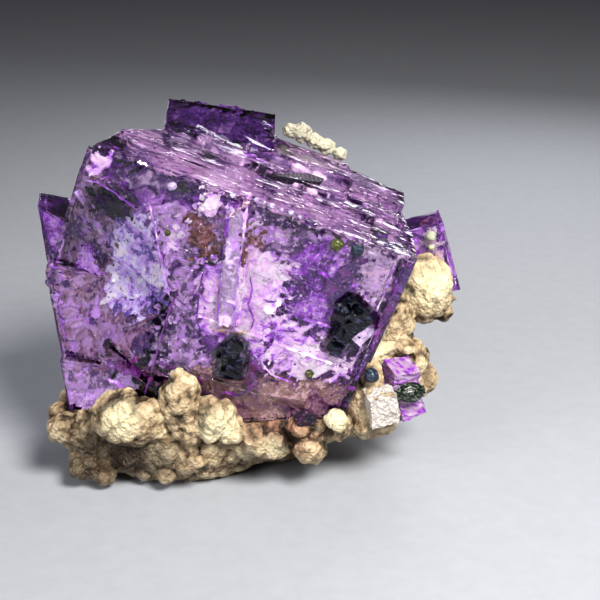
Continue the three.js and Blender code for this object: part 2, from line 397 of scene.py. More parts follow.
def pattern_space(tree, stretch=(1, 1, 1)):
    """The main crystal's coordinates in millimetres, stretched along its axes."""
    coordinates = tree.nodes.new("ShaderNodeTexCoord")
    mapping = tree.nodes.new("ShaderNodeMapping")
    mapping.vector_type = "TEXTURE"
    mapping.inputs["Location"].default_value = CRYSTAL_PLACE.to_translation()
    mapping.inputs["Rotation"].default_value = CRYSTAL_PLACE.to_euler()
    mapping.inputs["Scale"].default_value = [MM * s for s in stretch]
    tree.links.new(coordinates.outputs["Object"], mapping.inputs["Vector"])
    return mapping.outputs["Vector"]


def set_colour(tree, shader, colour):
    """Links a colour to the shader."""
    tree.links.new(colour, shader.inputs["Base Color"])


def noise_pattern(tree, space, size, detail=4, roughness=0.55, distortion=0):
    """Cloudy noise from 0 to 1, with features of a size in millimetres."""
    pattern = tree.nodes.new("ShaderNodeTexNoise")
    pattern.inputs["Scale"].default_value = 1 / size
    pattern.inputs["Detail"].default_value = detail
    pattern.inputs["Roughness"].default_value = roughness
    pattern.inputs["Distortion"].default_value = distortion
    tree.links.new(space, pattern.inputs["Vector"])
    return pattern.outputs["Fac"]


def cell_pattern(tree, space, size):
    """Round cells of a size in millimetres, as the distance to the nearest middle."""
    pattern = tree.nodes.new("ShaderNodeTexVoronoi")
    pattern.inputs["Scale"].default_value = 1 / size
    tree.links.new(space, pattern.inputs["Vector"])
    return pattern.outputs["Distance"]


def kept_number(tree, name):
    """A number that the piece keeps for its points."""
    layer = tree.nodes.new("ShaderNodeAttribute")
    layer.attribute_name = name
    return layer.outputs["Fac"]


def colour_steps(tree, factor, steps):
    """Colours along a factor from 0 to 1, as pairs of a place and a colour."""
    ramp = tree.nodes.new("ShaderNodeValToRGB")
    elements = ramp.color_ramp.elements
    while len(elements) < len(steps):
        elements.new(0.5)
    for element, (place, colour) in zip(elements, steps):
        element.position = place
        element.color = rgba(colour)
    tree.links.new(factor, ramp.inputs["Fac"])
    return ramp.outputs["Color"]


def number_range(tree, factor, low, high, to_low, to_high):
    """A factor's range moved to a new range, and cut off at its ends."""
    change = tree.nodes.new("ShaderNodeMapRange")
    for name, value in zip(("From Min", "From Max", "To Min", "To Max"), (low, high, to_low, to_high)):
        change.inputs[name].default_value = value
    tree.links.new(factor, change.inputs["Value"])
    return change.outputs["Result"]


def mixed(tree, factor, first, second, blend="MIX"):
    """Two colours mixed by a factor."""
    mix = tree.nodes.new("ShaderNodeMix")
    mix.data_type = "RGBA"
    mix.blend_type = blend
    for socket, value in zip((mix.inputs[0], mix.inputs[6], mix.inputs[7]), (factor, first, second)):
        if isinstance(value, bpy.types.NodeSocket):
            tree.links.new(value, socket)
        else:
            socket.default_value = value if isinstance(value, float) else rgba(value)
    return mix.outputs[2]


def combined(tree, operation, first, second):
    """Two numbers added or multiplied, as the operation says."""
    maths = tree.nodes.new("ShaderNodeMath")
    maths.operation = operation
    for socket, value in zip(maths.inputs, (first, second)):
        if isinstance(value, bpy.types.NodeSocket):
            tree.links.new(value, socket)
        else:
            socket.default_value = value
    return maths.outputs["Value"]


def add_bump(tree, shader, height, strength, distance):
    """Relief too fine for the mesh, with its depth in millimetres."""
    bump = tree.nodes.new("ShaderNodeBump")
    bump.inputs["Strength"].default_value = strength
    bump.inputs["Distance"].default_value = distance * MM
    tree.links.new(height, bump.inputs["Height"])
    tree.links.new(bump.outputs["Normal"], shader.inputs["Normal"])


def add_absorption(tree, colour, density):
    """Plain absorption inside the stone, with its density per metre."""
    inside = tree.nodes.new("ShaderNodeVolumeAbsorption")
    inside.inputs["Color"].default_value = rgba(colour)
    inside.inputs["Density"].default_value = density
    output = tree.nodes["Material Output"]
    tree.links.new(inside.outputs["Volume"], output.inputs["Volume"])


def clear_fluorite(looks):
    """The see-through stone: a streaked skin that is hazy and rippled in places, and absorption inside."""
    material, tree, shader = new_material("clear_violet_fluorite")
    space = pattern_space(tree)
    streaks = noise_pattern(tree, pattern_space(tree, SKIN_STRETCH), size=1.4, detail=5)
    set_colour(tree, shader, colour_steps(tree, streaks, [(0.38, looks.skin_dark), (0.62, looks.skin_light)]))
    haze = noise_pattern(tree, space, size=2.2, detail=6)
    tree.links.new(number_range(tree, haze, 0.5, 0.75, 0.02, 0.14), shader.inputs["Roughness"])
    fine_ripples = noise_pattern(tree, space, size=0.3, detail=4)
    ripples = combined(tree, "ADD", fine_ripples, cell_pattern(tree, space, size=0.55))
    rough_places = number_range(tree, noise_pattern(tree, space, size=2.6, detail=3), 0.48, 0.62, 0.05, 1.0)
    add_bump(tree, shader, combined(tree, "MULTIPLY", ripples, rough_places), strength=0.4, distance=0.07)
    set_finish(shader, transmission_weight=1.0, ior=looks.ior)
    add_absorption(tree, looks.body_colour, looks.body_density)
    return material


def broken_face_material(name, steps):
    """Broken inner faces: facets pick their colours by shade, cracks are dark, and fine painted white glints
    sparkle.
    """
    material, tree, shader = new_material(name)
    space = pattern_space(tree, STRETCHES.get(steps, (1, 1, 1)))
    mottle = noise_pattern(tree, space, size=0.9, detail=9, roughness=0.68, distortion=1.0)
    shade = number_range(tree, kept_number(tree, "shade"), -1, 1, -0.6, 0.2)
    slow_noise = noise_pattern(tree, space, size=3.2, detail=2)
    drift = number_range(tree, slow_noise, 0.35, 0.65, -0.09, 0.09)
    tone = combined(tree, "ADD", combined(tree, "ADD", mottle, shade), drift)
    body = colour_steps(tree, tone, steps)
    crack = number_range(tree, kept_number(tree, "crease"), 0.0, 0.06, 1.0, 0.0)
    broken = number_range(tree, noise_pattern(tree, space, size=0.8, detail=4), 0.5, 0.6, 0.0, 0.8)
    cracked = mixed(tree, combined(tree, "MULTIPLY", crack, broken), body, DEEP)
    # Fine specks screened white as painted glints; they also make the bump
    specks = noise_pattern(tree, space, size=0.18, detail=3)
    painted_glints = number_range(tree, specks, 0.58, 0.7, 0.0, PAINTED_GLINTS.get(steps, USUAL_PAINTED_GLINTS))
    set_colour(tree, shader, mixed(tree, painted_glints, cracked, WHITE, blend="SCREEN"))
    tree.links.new(number_range(tree, mottle, 0.3, 0.7, 0.45, 0.15), shader.inputs["Roughness"])
    add_bump(tree, shader, combined(tree, "ADD", specks, mottle), strength=0.8, distance=0.08)
    set_finish(shader, specular_ior_level=GLOSS.get(steps, USUAL_GLOSS))
    return material


def calcite_material(name, looks, pale):
    """Calcite with painted shade in its creases and painted light on its tops: brown in the creases and cream
    on the tops, brown where marked with painted shade, and pale where it is marked as white.
    """
    material, tree, shader = new_material(name)
    space = pattern_space(tree)
    height = kept_number(tree, "height")
    wander = noise_pattern(tree, space, size=3.0, detail=5)
    # The nodule height paints shade: brown in the creases, cream to white on the tops
    crease_shade_tone = combined(tree, "MULTIPLY", height, 0.5)
    tone = combined(tree, "ADD", crease_shade_tone, combined(tree, "MULTIPLY", wander, 0.8))
    steps = [(0.4, looks.brown), (0.56, looks.tan), (0.74, looks.cream), (0.93, looks.white)]
    # Painted shade, with the calcite's own brown: the marked places turn to the darkest colour
    shaded = mixed(tree, kept_number(tree, "brown"), colour_steps(tree, tone, steps), looks.brown)
    rosy = mixed(tree, kept_number(tree, "rose"), shaded, looks.rose, blend="MULTIPLY")
    # Marked white: the white block's and the ridge grains' own colour, and painted highlights on lit nodules
    # of the crust
    set_colour(tree, shader, mixed(tree, kept_number(tree, "white"), rosy, pale))
    fine_cells = cell_pattern(tree, space, size=0.24)
    sparkle = combined(tree, "ADD", fine_cells, cell_pattern(tree, space, size=0.55))
    tree.links.new(number_range(tree, sparkle, 0.2, 1.4, 0.18, 0.5), shader.inputs["Roughness"])
    grain = combined(tree, "ADD", sparkle, noise_pattern(tree, space, size=0.14, detail=5))
    add_bump(tree, shader, grain, strength=1.0, distance=0.16)
    set_finish(shader, subsurface_weight=looks.glow, subsurface_scale=0.6 * MM, specular_ior_level=0.35)
    shader.inputs["Subsurface Radius"].default_value = GLOW_RADIUS
    return material


def dark_material(name, deep, glint, stripe):
    """A smooth dark mineral with brighter stripes of a size in millimetres."""
    material, tree, shader = new_material(name)
    space = pattern_space(tree, STRIPE_STRETCH)
    stripes = noise_pattern(tree, space, size=stripe, detail=5)
    set_colour(tree, shader, colour_steps(tree, stripes, [(0.52, deep), (0.68, glint)]))
    tree.links.new(number_range(tree, stripes, 0.3, 0.7, 0.06, 0.22), shader.inputs["Roughness"])
    add_bump(tree, shader, stripes, strength=0.5, distance=0.04)
    set_finish(shader, specular_ior_level=0.3)
    return material


# The fluorite

# Growth strips on the top, in the crystal's frame: where their middles lie, their sizes, and how far their
# outlines may reach
STRIP_SPANS = ((-8.5, 9.5), (-5.4, 5.6))
STRIP_LENGTHS = (1.5, 6.5)
STRIP_WIDTHS = (0.25, 1.1)
STRIP_RISES = (0.04, 0.13)
STRIP_SLANTS = (-0.12, 0.12)
STRIP_LIMITS = ((-9.6, 9.9), (-5.9, 6.2))
STRIP_FOOT = 5.0
ABOVE_TOP = 14

# Chips out of the front edge of the top, chips down the right side, and low patches on the front face
TOP_CHIP_COUNT = 26
RIGHT_CHIP_COUNT = 14
PATCH_COUNT = 30


def top_height(surface, x, y):
    """How high the top of the crystal is at a place, in the crystal's frame."""
    down = CRYSTAL_PLACE.to_3x3() @ Vector((0, 0, -1))
    hit = surface.ray_cast(CRYSTAL_PLACE @ (Vector((x, y, ABOVE_TOP)) * MM), down)[0]
    return (CRYSTAL_PLACE.inverted() @ hit).z / MM if hit else None


def strip_outline(x, y, length, width, slant):
    """A long sliver with a pointed right end, kept inside the top."""
    outline = [
        (x - length / 2, y - slant * length),
        (x + length / 2 - width * 0.5, y - width * 0.5 + slant * length),
        (x + length / 2, y + slant * length),
        (x + length / 2 - width * 0.6, y + width * 0.5 + slant * length),
        (x - length / 2 + width, y + width * 0.5),
    ]
    (left, right), (front, back) = STRIP_LIMITS
    return [(min(max(px, left), right), min(max(py, front), back)) for px, py in outline]


def growth_strips(crystal, looks, random):
    """Thin strips along the front edge, which make the fine steps of the top."""
    surface = BVHTree.FromObject(crystal, bpy.context.evaluated_depsgraph_get())
    strips = []
    for _ in range(looks.strip_count):
        x, y = (random.uniform(*span) for span in STRIP_SPANS)
        length, width = random.uniform(*STRIP_LENGTHS), random.uniform(*STRIP_WIDTHS)
        rise = random.uniform(*STRIP_RISES)
        slant = random.uniform(*STRIP_SLANTS)
        height = top_height(surface, x, y)
        on_top_crystal = x < 1.4 and y > 1.6
        over_wedge = abs(x - 2.3) < 3.6 and abs(y + 0.3) < 1.4
        if height is None or on_top_crystal or over_wedge:
            continue
        outline = strip_outline(x, y, length, width, slant)
        strips.append(prism("growth_strip", outline, STRIP_FOOT, height + rise, CRYSTAL_PLACE))
    return strips


def edge_chips(random):
    """Small chips out of the front edges of the top and of the crystal's right side."""
    chips = []
    for _ in range(TOP_CHIP_COUNT):
        at = (random.uniform(-9.5, 9.8), CRYSTAL_FRONT - 0.05, CRYSTAL_TOP + random.uniform(-0.1, 0.15))
        size = random.uniform(0.2, 0.75, 3) * (1.4, 0.8, 0.6)
        chips.append(turned_block("chip", at, size, random.uniform(0, 90, 3), CRYSTAL_PLACE))
    for _ in range(RIGHT_CHIP_COUNT):
        at = (random.uniform(9.9, 10.5), CRYSTAL_FRONT + random.uniform(-0.1, 4), random.uniform(2, 6.4))
        size = random.uniform(0.2, 0.6, 3)
        chips.append(turned_block("chip", at, size, random.uniform(0, 90, 3), CRYSTAL_PLACE))
    return chips


def front_patches(random):
    """Low growth patches on the front face."""
    patches = []
    for _ in range(PATCH_COUNT):
        at = (random.uniform(-2.5, 9), CRYSTAL_FRONT, random.uniform(-4.5, 5.6))
        size = (random.uniform(0.6, 2.8), random.uniform(0.1, 0.26), random.uniform(0.5, 2.4))
        turn = (random.uniform(-2, 2), random.uniform(-14, 14), random.uniform(-2, 2))
        patches.append(turned_block("patch", at, size, turn, CRYSTAL_PLACE))
    return patches


def fluorite_crystal(looks):
    """The crystal's clear skin: the CAD solid with strips, patches and chips, and slow waves in its faces."""
    random = np.random.default_rng(looks.seed)
    crystal = node_copy("fluorite_crystal", "violet_fluorite_crystal")
    combine(crystal, growth_strips(crystal, looks, random) + front_patches(random), "UNION")
    combine(crystal, edge_chips(random), "DIFFERENCE")
    split_long_edges(crystal, looks.facet_size / MM)
    points = points_of(crystal)
    wave = smooth_noise(points, 1.5, 1) * 0.5 + smooth_noise(points, 0.7, 2) * 0.5
    push(crystal, (wave - 0.6) * looks.waviness / MM)
    round_over(crystal, 14)
    finish_piece(crystal, clear_fluorite(looks))
    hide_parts("fluorite_crystal")


# The broken faces inside the fluorite

def crystal_surface():
    """The CAD crystal's surface, for finding how far it is from a place."""
    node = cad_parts["fluorite_crystal"].data
    return BVHTree.FromPolygons([v.co for v in node.vertices], [p.vertices for p in node.polygons])


CRYSTAL_SURFACE = crystal_surface()

# How far from a plane the crystal's surface is looked for, in millimetres
REACH = 5


def surface_heights(places, normal):
    """How far the surface stands out of a plane at each place, in millimetres, or nan where it is missing."""
    inward = CRYSTAL_PLACE.to_3x3() @ Vector(-normal)
    heights = np.full(len(places), np.nan)
    for number, place in enumerate(places):
        start = CRYSTAL_PLACE @ (Vector(place + normal * REACH) * MM)
        distance = CRYSTAL_SURFACE.ray_cast(start, inward, 2 * REACH * MM)[3]
        if distance is not None:
            heights[number] = REACH - distance / MM
    return heights


def plane_axes(plane):
    """A plane's point, its sheet's two directions as rows, and its outward normal."""
    origin, across, normal = (np.array(v, float) for v in plane)
    normal /= np.linalg.norm(normal)
    return origin, np.array([across, np.cross(across, -normal)]), normal


# Planes that inner fractures lie along: a point, the direction of the sheet's x, and the outward normal
FRONT_PLANE = ((0, CRYSTAL_FRONT, 0), (1, 0, 0), (0, -1, 0))
TOP_PLANE = ((0, 0, CRYSTAL_TOP), (1, 0, 0), (0, 0, 1))
CLEAVAGE_PLANE = (CLEAVAGE_POINT, (0.804, -0.595, 0), CLEAVAGE_NORMAL)
LEFT_PLANE = ((-7, -2.5, 0), (0.954, -0.3, 0), (-0.3, -0.954, 0))
BACK_PLANE = ((0, 6, 0), (-1, 0, 0), (0, 1, 0))
RIGHT_PLANE = ((10.2, 0, 0), (0, 1, 0), (1, 0, 0))
LEFT_END_PLANE = ((-10.4, 0, 0), (0, -1, 0), (-1, 0, 0))


def specimen_plane(point, across, normal):
    """A plane of the specimen's frame in the main crystal's frame."""
    turn = np.array(CRYSTAL_PLACE.to_3x3())
    return in_crystal(np.array(point)), np.array(across) @ turn, np.array(normal) @ turn


def block_face(at, size, turn, axis, sign):
    """The plane of one face of a turned block in the main crystal's frame."""
    turn_matrix = np.array(turned(turn).to_3x3())
    outward = np.eye(3)[axis] * sign
    across = np.eye(3)[(axis + 1) % 3]
    middle = np.array(at) + turn_matrix @ (outward * size[axis] / 2)
    return middle, turn_matrix @ across, turn_matrix @ outward


TOP_CRYSTAL = ((-2.6, 4.3, CRYSTAL_TOP), (7.2, 4.4, 3.0), (18, -12, 3))
TOP_CRYSTAL_FRONT = block_face(*TOP_CRYSTAL, 1, -1)
TOP_CRYSTAL_TOP = block_face(*TOP_CRYSTAL, 2, 1)
BACK_CRYSTAL_PLANE = specimen_plane((11.35, 1.9, 12.2), (0.961, 0, 0.276), (0, -1, 0))
LOW_LEFT_PLANE = specimen_plane((-9.65, -4.5, 6.0), (1, -0.07, 0), (-0.07, -1, 0))

# The grids of broken faces, in millimetres: their steps, how far they pass the outline, and the largest rise
# from one point to the next. Faces that only other views show take the coarse step.
FACE_STEP = 0.1
COARSE_STEP = 0.15
COARSE_FACES = {"violet_face_back", "violet_face_left_end", "violet_face_end"}
FACE_MARGIN = 0.3
LARGEST_RISE = 0.5
FACE_THICKNESS = 0.05

# The two sets of facets of a broken face: their size, slope and lift
BIG_FACETS = (1.3, 0.12, 0.05)
SMALL_FACETS = (0.4, 0.3, 0.03)

# How far a face's edge wanders, in waves along three directions, and the faces whose outline is straight
RAGGED_EDGE = 0.45
STRAIGHT_EDGE = 0.05
EDGE_WAVES = ((3.1, 1.7), (-1.3, 4.2), (9.1, -5.7))
CLEAN_EDGED = {"grey_face_rib", "plum_face_fin", "black_lens_left", "black_lens_right"}


def face_grid(outline, step):
    """Places in rows and columns that cover an outline, and how many of each there are."""
    low, high = np.min(outline, axis=0) - FACE_MARGIN, np.max(outline, axis=0) + FACE_MARGIN
    shape = tuple(int(n) + 2 for n in (high - low) / step)
    across, up = np.meshgrid(*(np.arange(count) for count in shape), indexing="ij")
    return np.stack([across.ravel(), up.ravel()], 1) * step + low, shape


def kept_cells(kept, surface):
    """The grid's whole cells, apart from those that a step of the surface runs through."""
    corners = grid_corners(kept.shape)
    whole = kept.ravel()[corners].all(-1)
    levels = surface[corners]
    rise = np.nan_to_num(levels.max(-1) - levels.min(-1), nan=np.inf)
    return corners[whole & (rise < LARGEST_RISE)]


def edge_waves(places):
    """Uneven waves that make an outline ragged."""
    first, second, third = (np.sin(places @ wave) for wave in EDGE_WAVES)
    return first * second + 0.5 * third


def broken_face(name, outline, plane, depth, seed):
    """A broken inner face that follows the crystal's surface at a depth: ragged outline and tilted facets."""
    random = np.random.default_rng(seed)
    places, shape = face_grid(outline, COARSE_STEP if name in COARSE_FACES else FACE_STEP)
    bent = warped(places, 2.0, 0.25, random)
    big, big_crease, big_shade = broken_facets(bent, *BIG_FACETS, random)
    small, small_crease, small_shade = broken_facets(bent, *SMALL_FACETS, random)
    raggedness = STRAIGHT_EDGE if name in CLEAN_EDGED else RAGGED_EDGE
    ragged = inside_depth(places, outline) + raggedness * edge_waves(bent)
    origin, axes, normal = plane_axes(plane)
    on_plane = origin + places @ axes
    surface = surface_heights(on_plane, normal)
    kept = ((ragged > 0) & np.isfinite(surface)).reshape(shape)
    points = on_plane + (surface + big + small - depth)[:, None] * normal
    used, faces = np.unique(kept_cells(kept, surface), return_inverse=True)
    sheet = new_piece(name, points[used], faces.reshape(-1, 4).tolist(), CRYSTAL_PLACE)
    fade = np.clip(1 - ragged / 0.5, 0, 1) * raggedness
    mark(sheet, "shade", (big_shade * 0.6 + small_shade * 0.4 - fade)[used])
    mark(sheet, "crease", np.minimum(big_crease, small_crease * 2)[used])
    faces_outward = np.dot(np.cross(*axes), normal) > 0
    thicken(sheet, FACE_THICKNESS, -1 if faces_outward else 1)
    round_over(sheet, 20)
    return sheet


# The colours of broken inner faces, from their darkest mottles to their brightest
BRIGHT = ((0.25, VIOLET), (0.34, LILAC), (0.45, PINK), (0.57, WHITE))
# Painted highlights: the blue-white sparkle of the broken corner face
SPARKLE_HIGHLIGHTS = ((0.32, INDIGO), (0.42, LILAC), (0.51, GLINT_ICE), (0.6, WHITE))
PALE = ((0.3, GREY_LILAC), (0.45, PALE_MAUVE), (0.6, PEACH), (0.75, WHITE))
LILAC_GREY = ((0.3, DUSK), (0.43, GREY_LILAC), (0.58, LILAC), (0.74, WHITE))
WARM_GREY = ((0.3, DUSK), (0.42, GREY_LILAC), (0.56, PALE_MAUVE), (0.72, PEACH))
RIB_GREY = ((0.3, GREY_LILAC), (0.5, GREY_LILAC), (0.66, LILAC), (0.9, LILAC))
SMOKY = ((0.38, BLACK), (0.5, DEEP), (0.62, DUSK), (0.78, GREY_LILAC))
DEEP_VIOLET = ((0.38, DEEP), (0.49, VIOLET), (0.64, LILAC), (0.78, PINK))
LEFT_MAUVE = ((0.32, DEEP), (0.44, MAUVE_BROWN), (0.57, GREY_LILAC), (0.7, LILAC))
MAUVE_STREAKS = ((0.3, DEEP), (0.42, DUSK), (0.54, MAUVE), (0.78, PALE_MAUVE))
RED_BROWN = ((0.36, UMBER), (0.48, RUST), (0.6, MAUVE_BROWN), (0.76, PINK))
ROSE = ((0.34, WINE), (0.42, MAUVE_BROWN), (0.52, BROWN_PINK), (0.6, ROSE_BROWN), (0.7, PEACH))
WINE_DARK = ((0.3, BLACK), (0.5, WINE), (0.7, PLUM), (0.9, VIOLET))
MAGENTA_DARK = ((0.36, DEEP), (0.56, PLUM), (0.72, MAGENTA), (0.95, LILAC))
DUSKY = ((0.3, BLACK), (0.5, DEEP), (0.64, DUSK), (0.9, MAUVE))
NEARLY_BLACK = ((0.3, BLACK), (0.55, BLACK), (0.7, DEEP), (0.95, GREY_LILAC))
# Painted highlights along edges, white and orange
EDGE_HIGHLIGHT_WHITE = ((0.42, VIOLET), (0.52, LILAC), (0.62, PINK), (0.74, WHITE))
EDGE_GLINT_ORANGE = ((0.3, RUST), (0.5, BROWN_PINK), (0.65, PEACH), (0.85, WHITE))

# How far a pattern is drawn out along the crystal's axes, how many fine painted white glints it has, and how
# glossy it is, where that isn't the usual
STRETCHES = {MAUVE_STREAKS: (5, 0.8, 1), LEFT_MAUVE: (1, 1, 2)}
PAINTED_GLINTS = {
    NEARLY_BLACK: 0.05,
    SMOKY: 0.15,
    WINE_DARK: 0.12,
    MAGENTA_DARK: 0.2,
    DUSKY: 0.03,
    RIB_GREY: 0.15,
    RED_BROWN: 0.3,
}
GLOSS = {NEARLY_BLACK: 0.08, SMOKY: 0.15, WINE_DARK: 0.2, DUSKY: 0.08, RED_BROWN: 0.3}

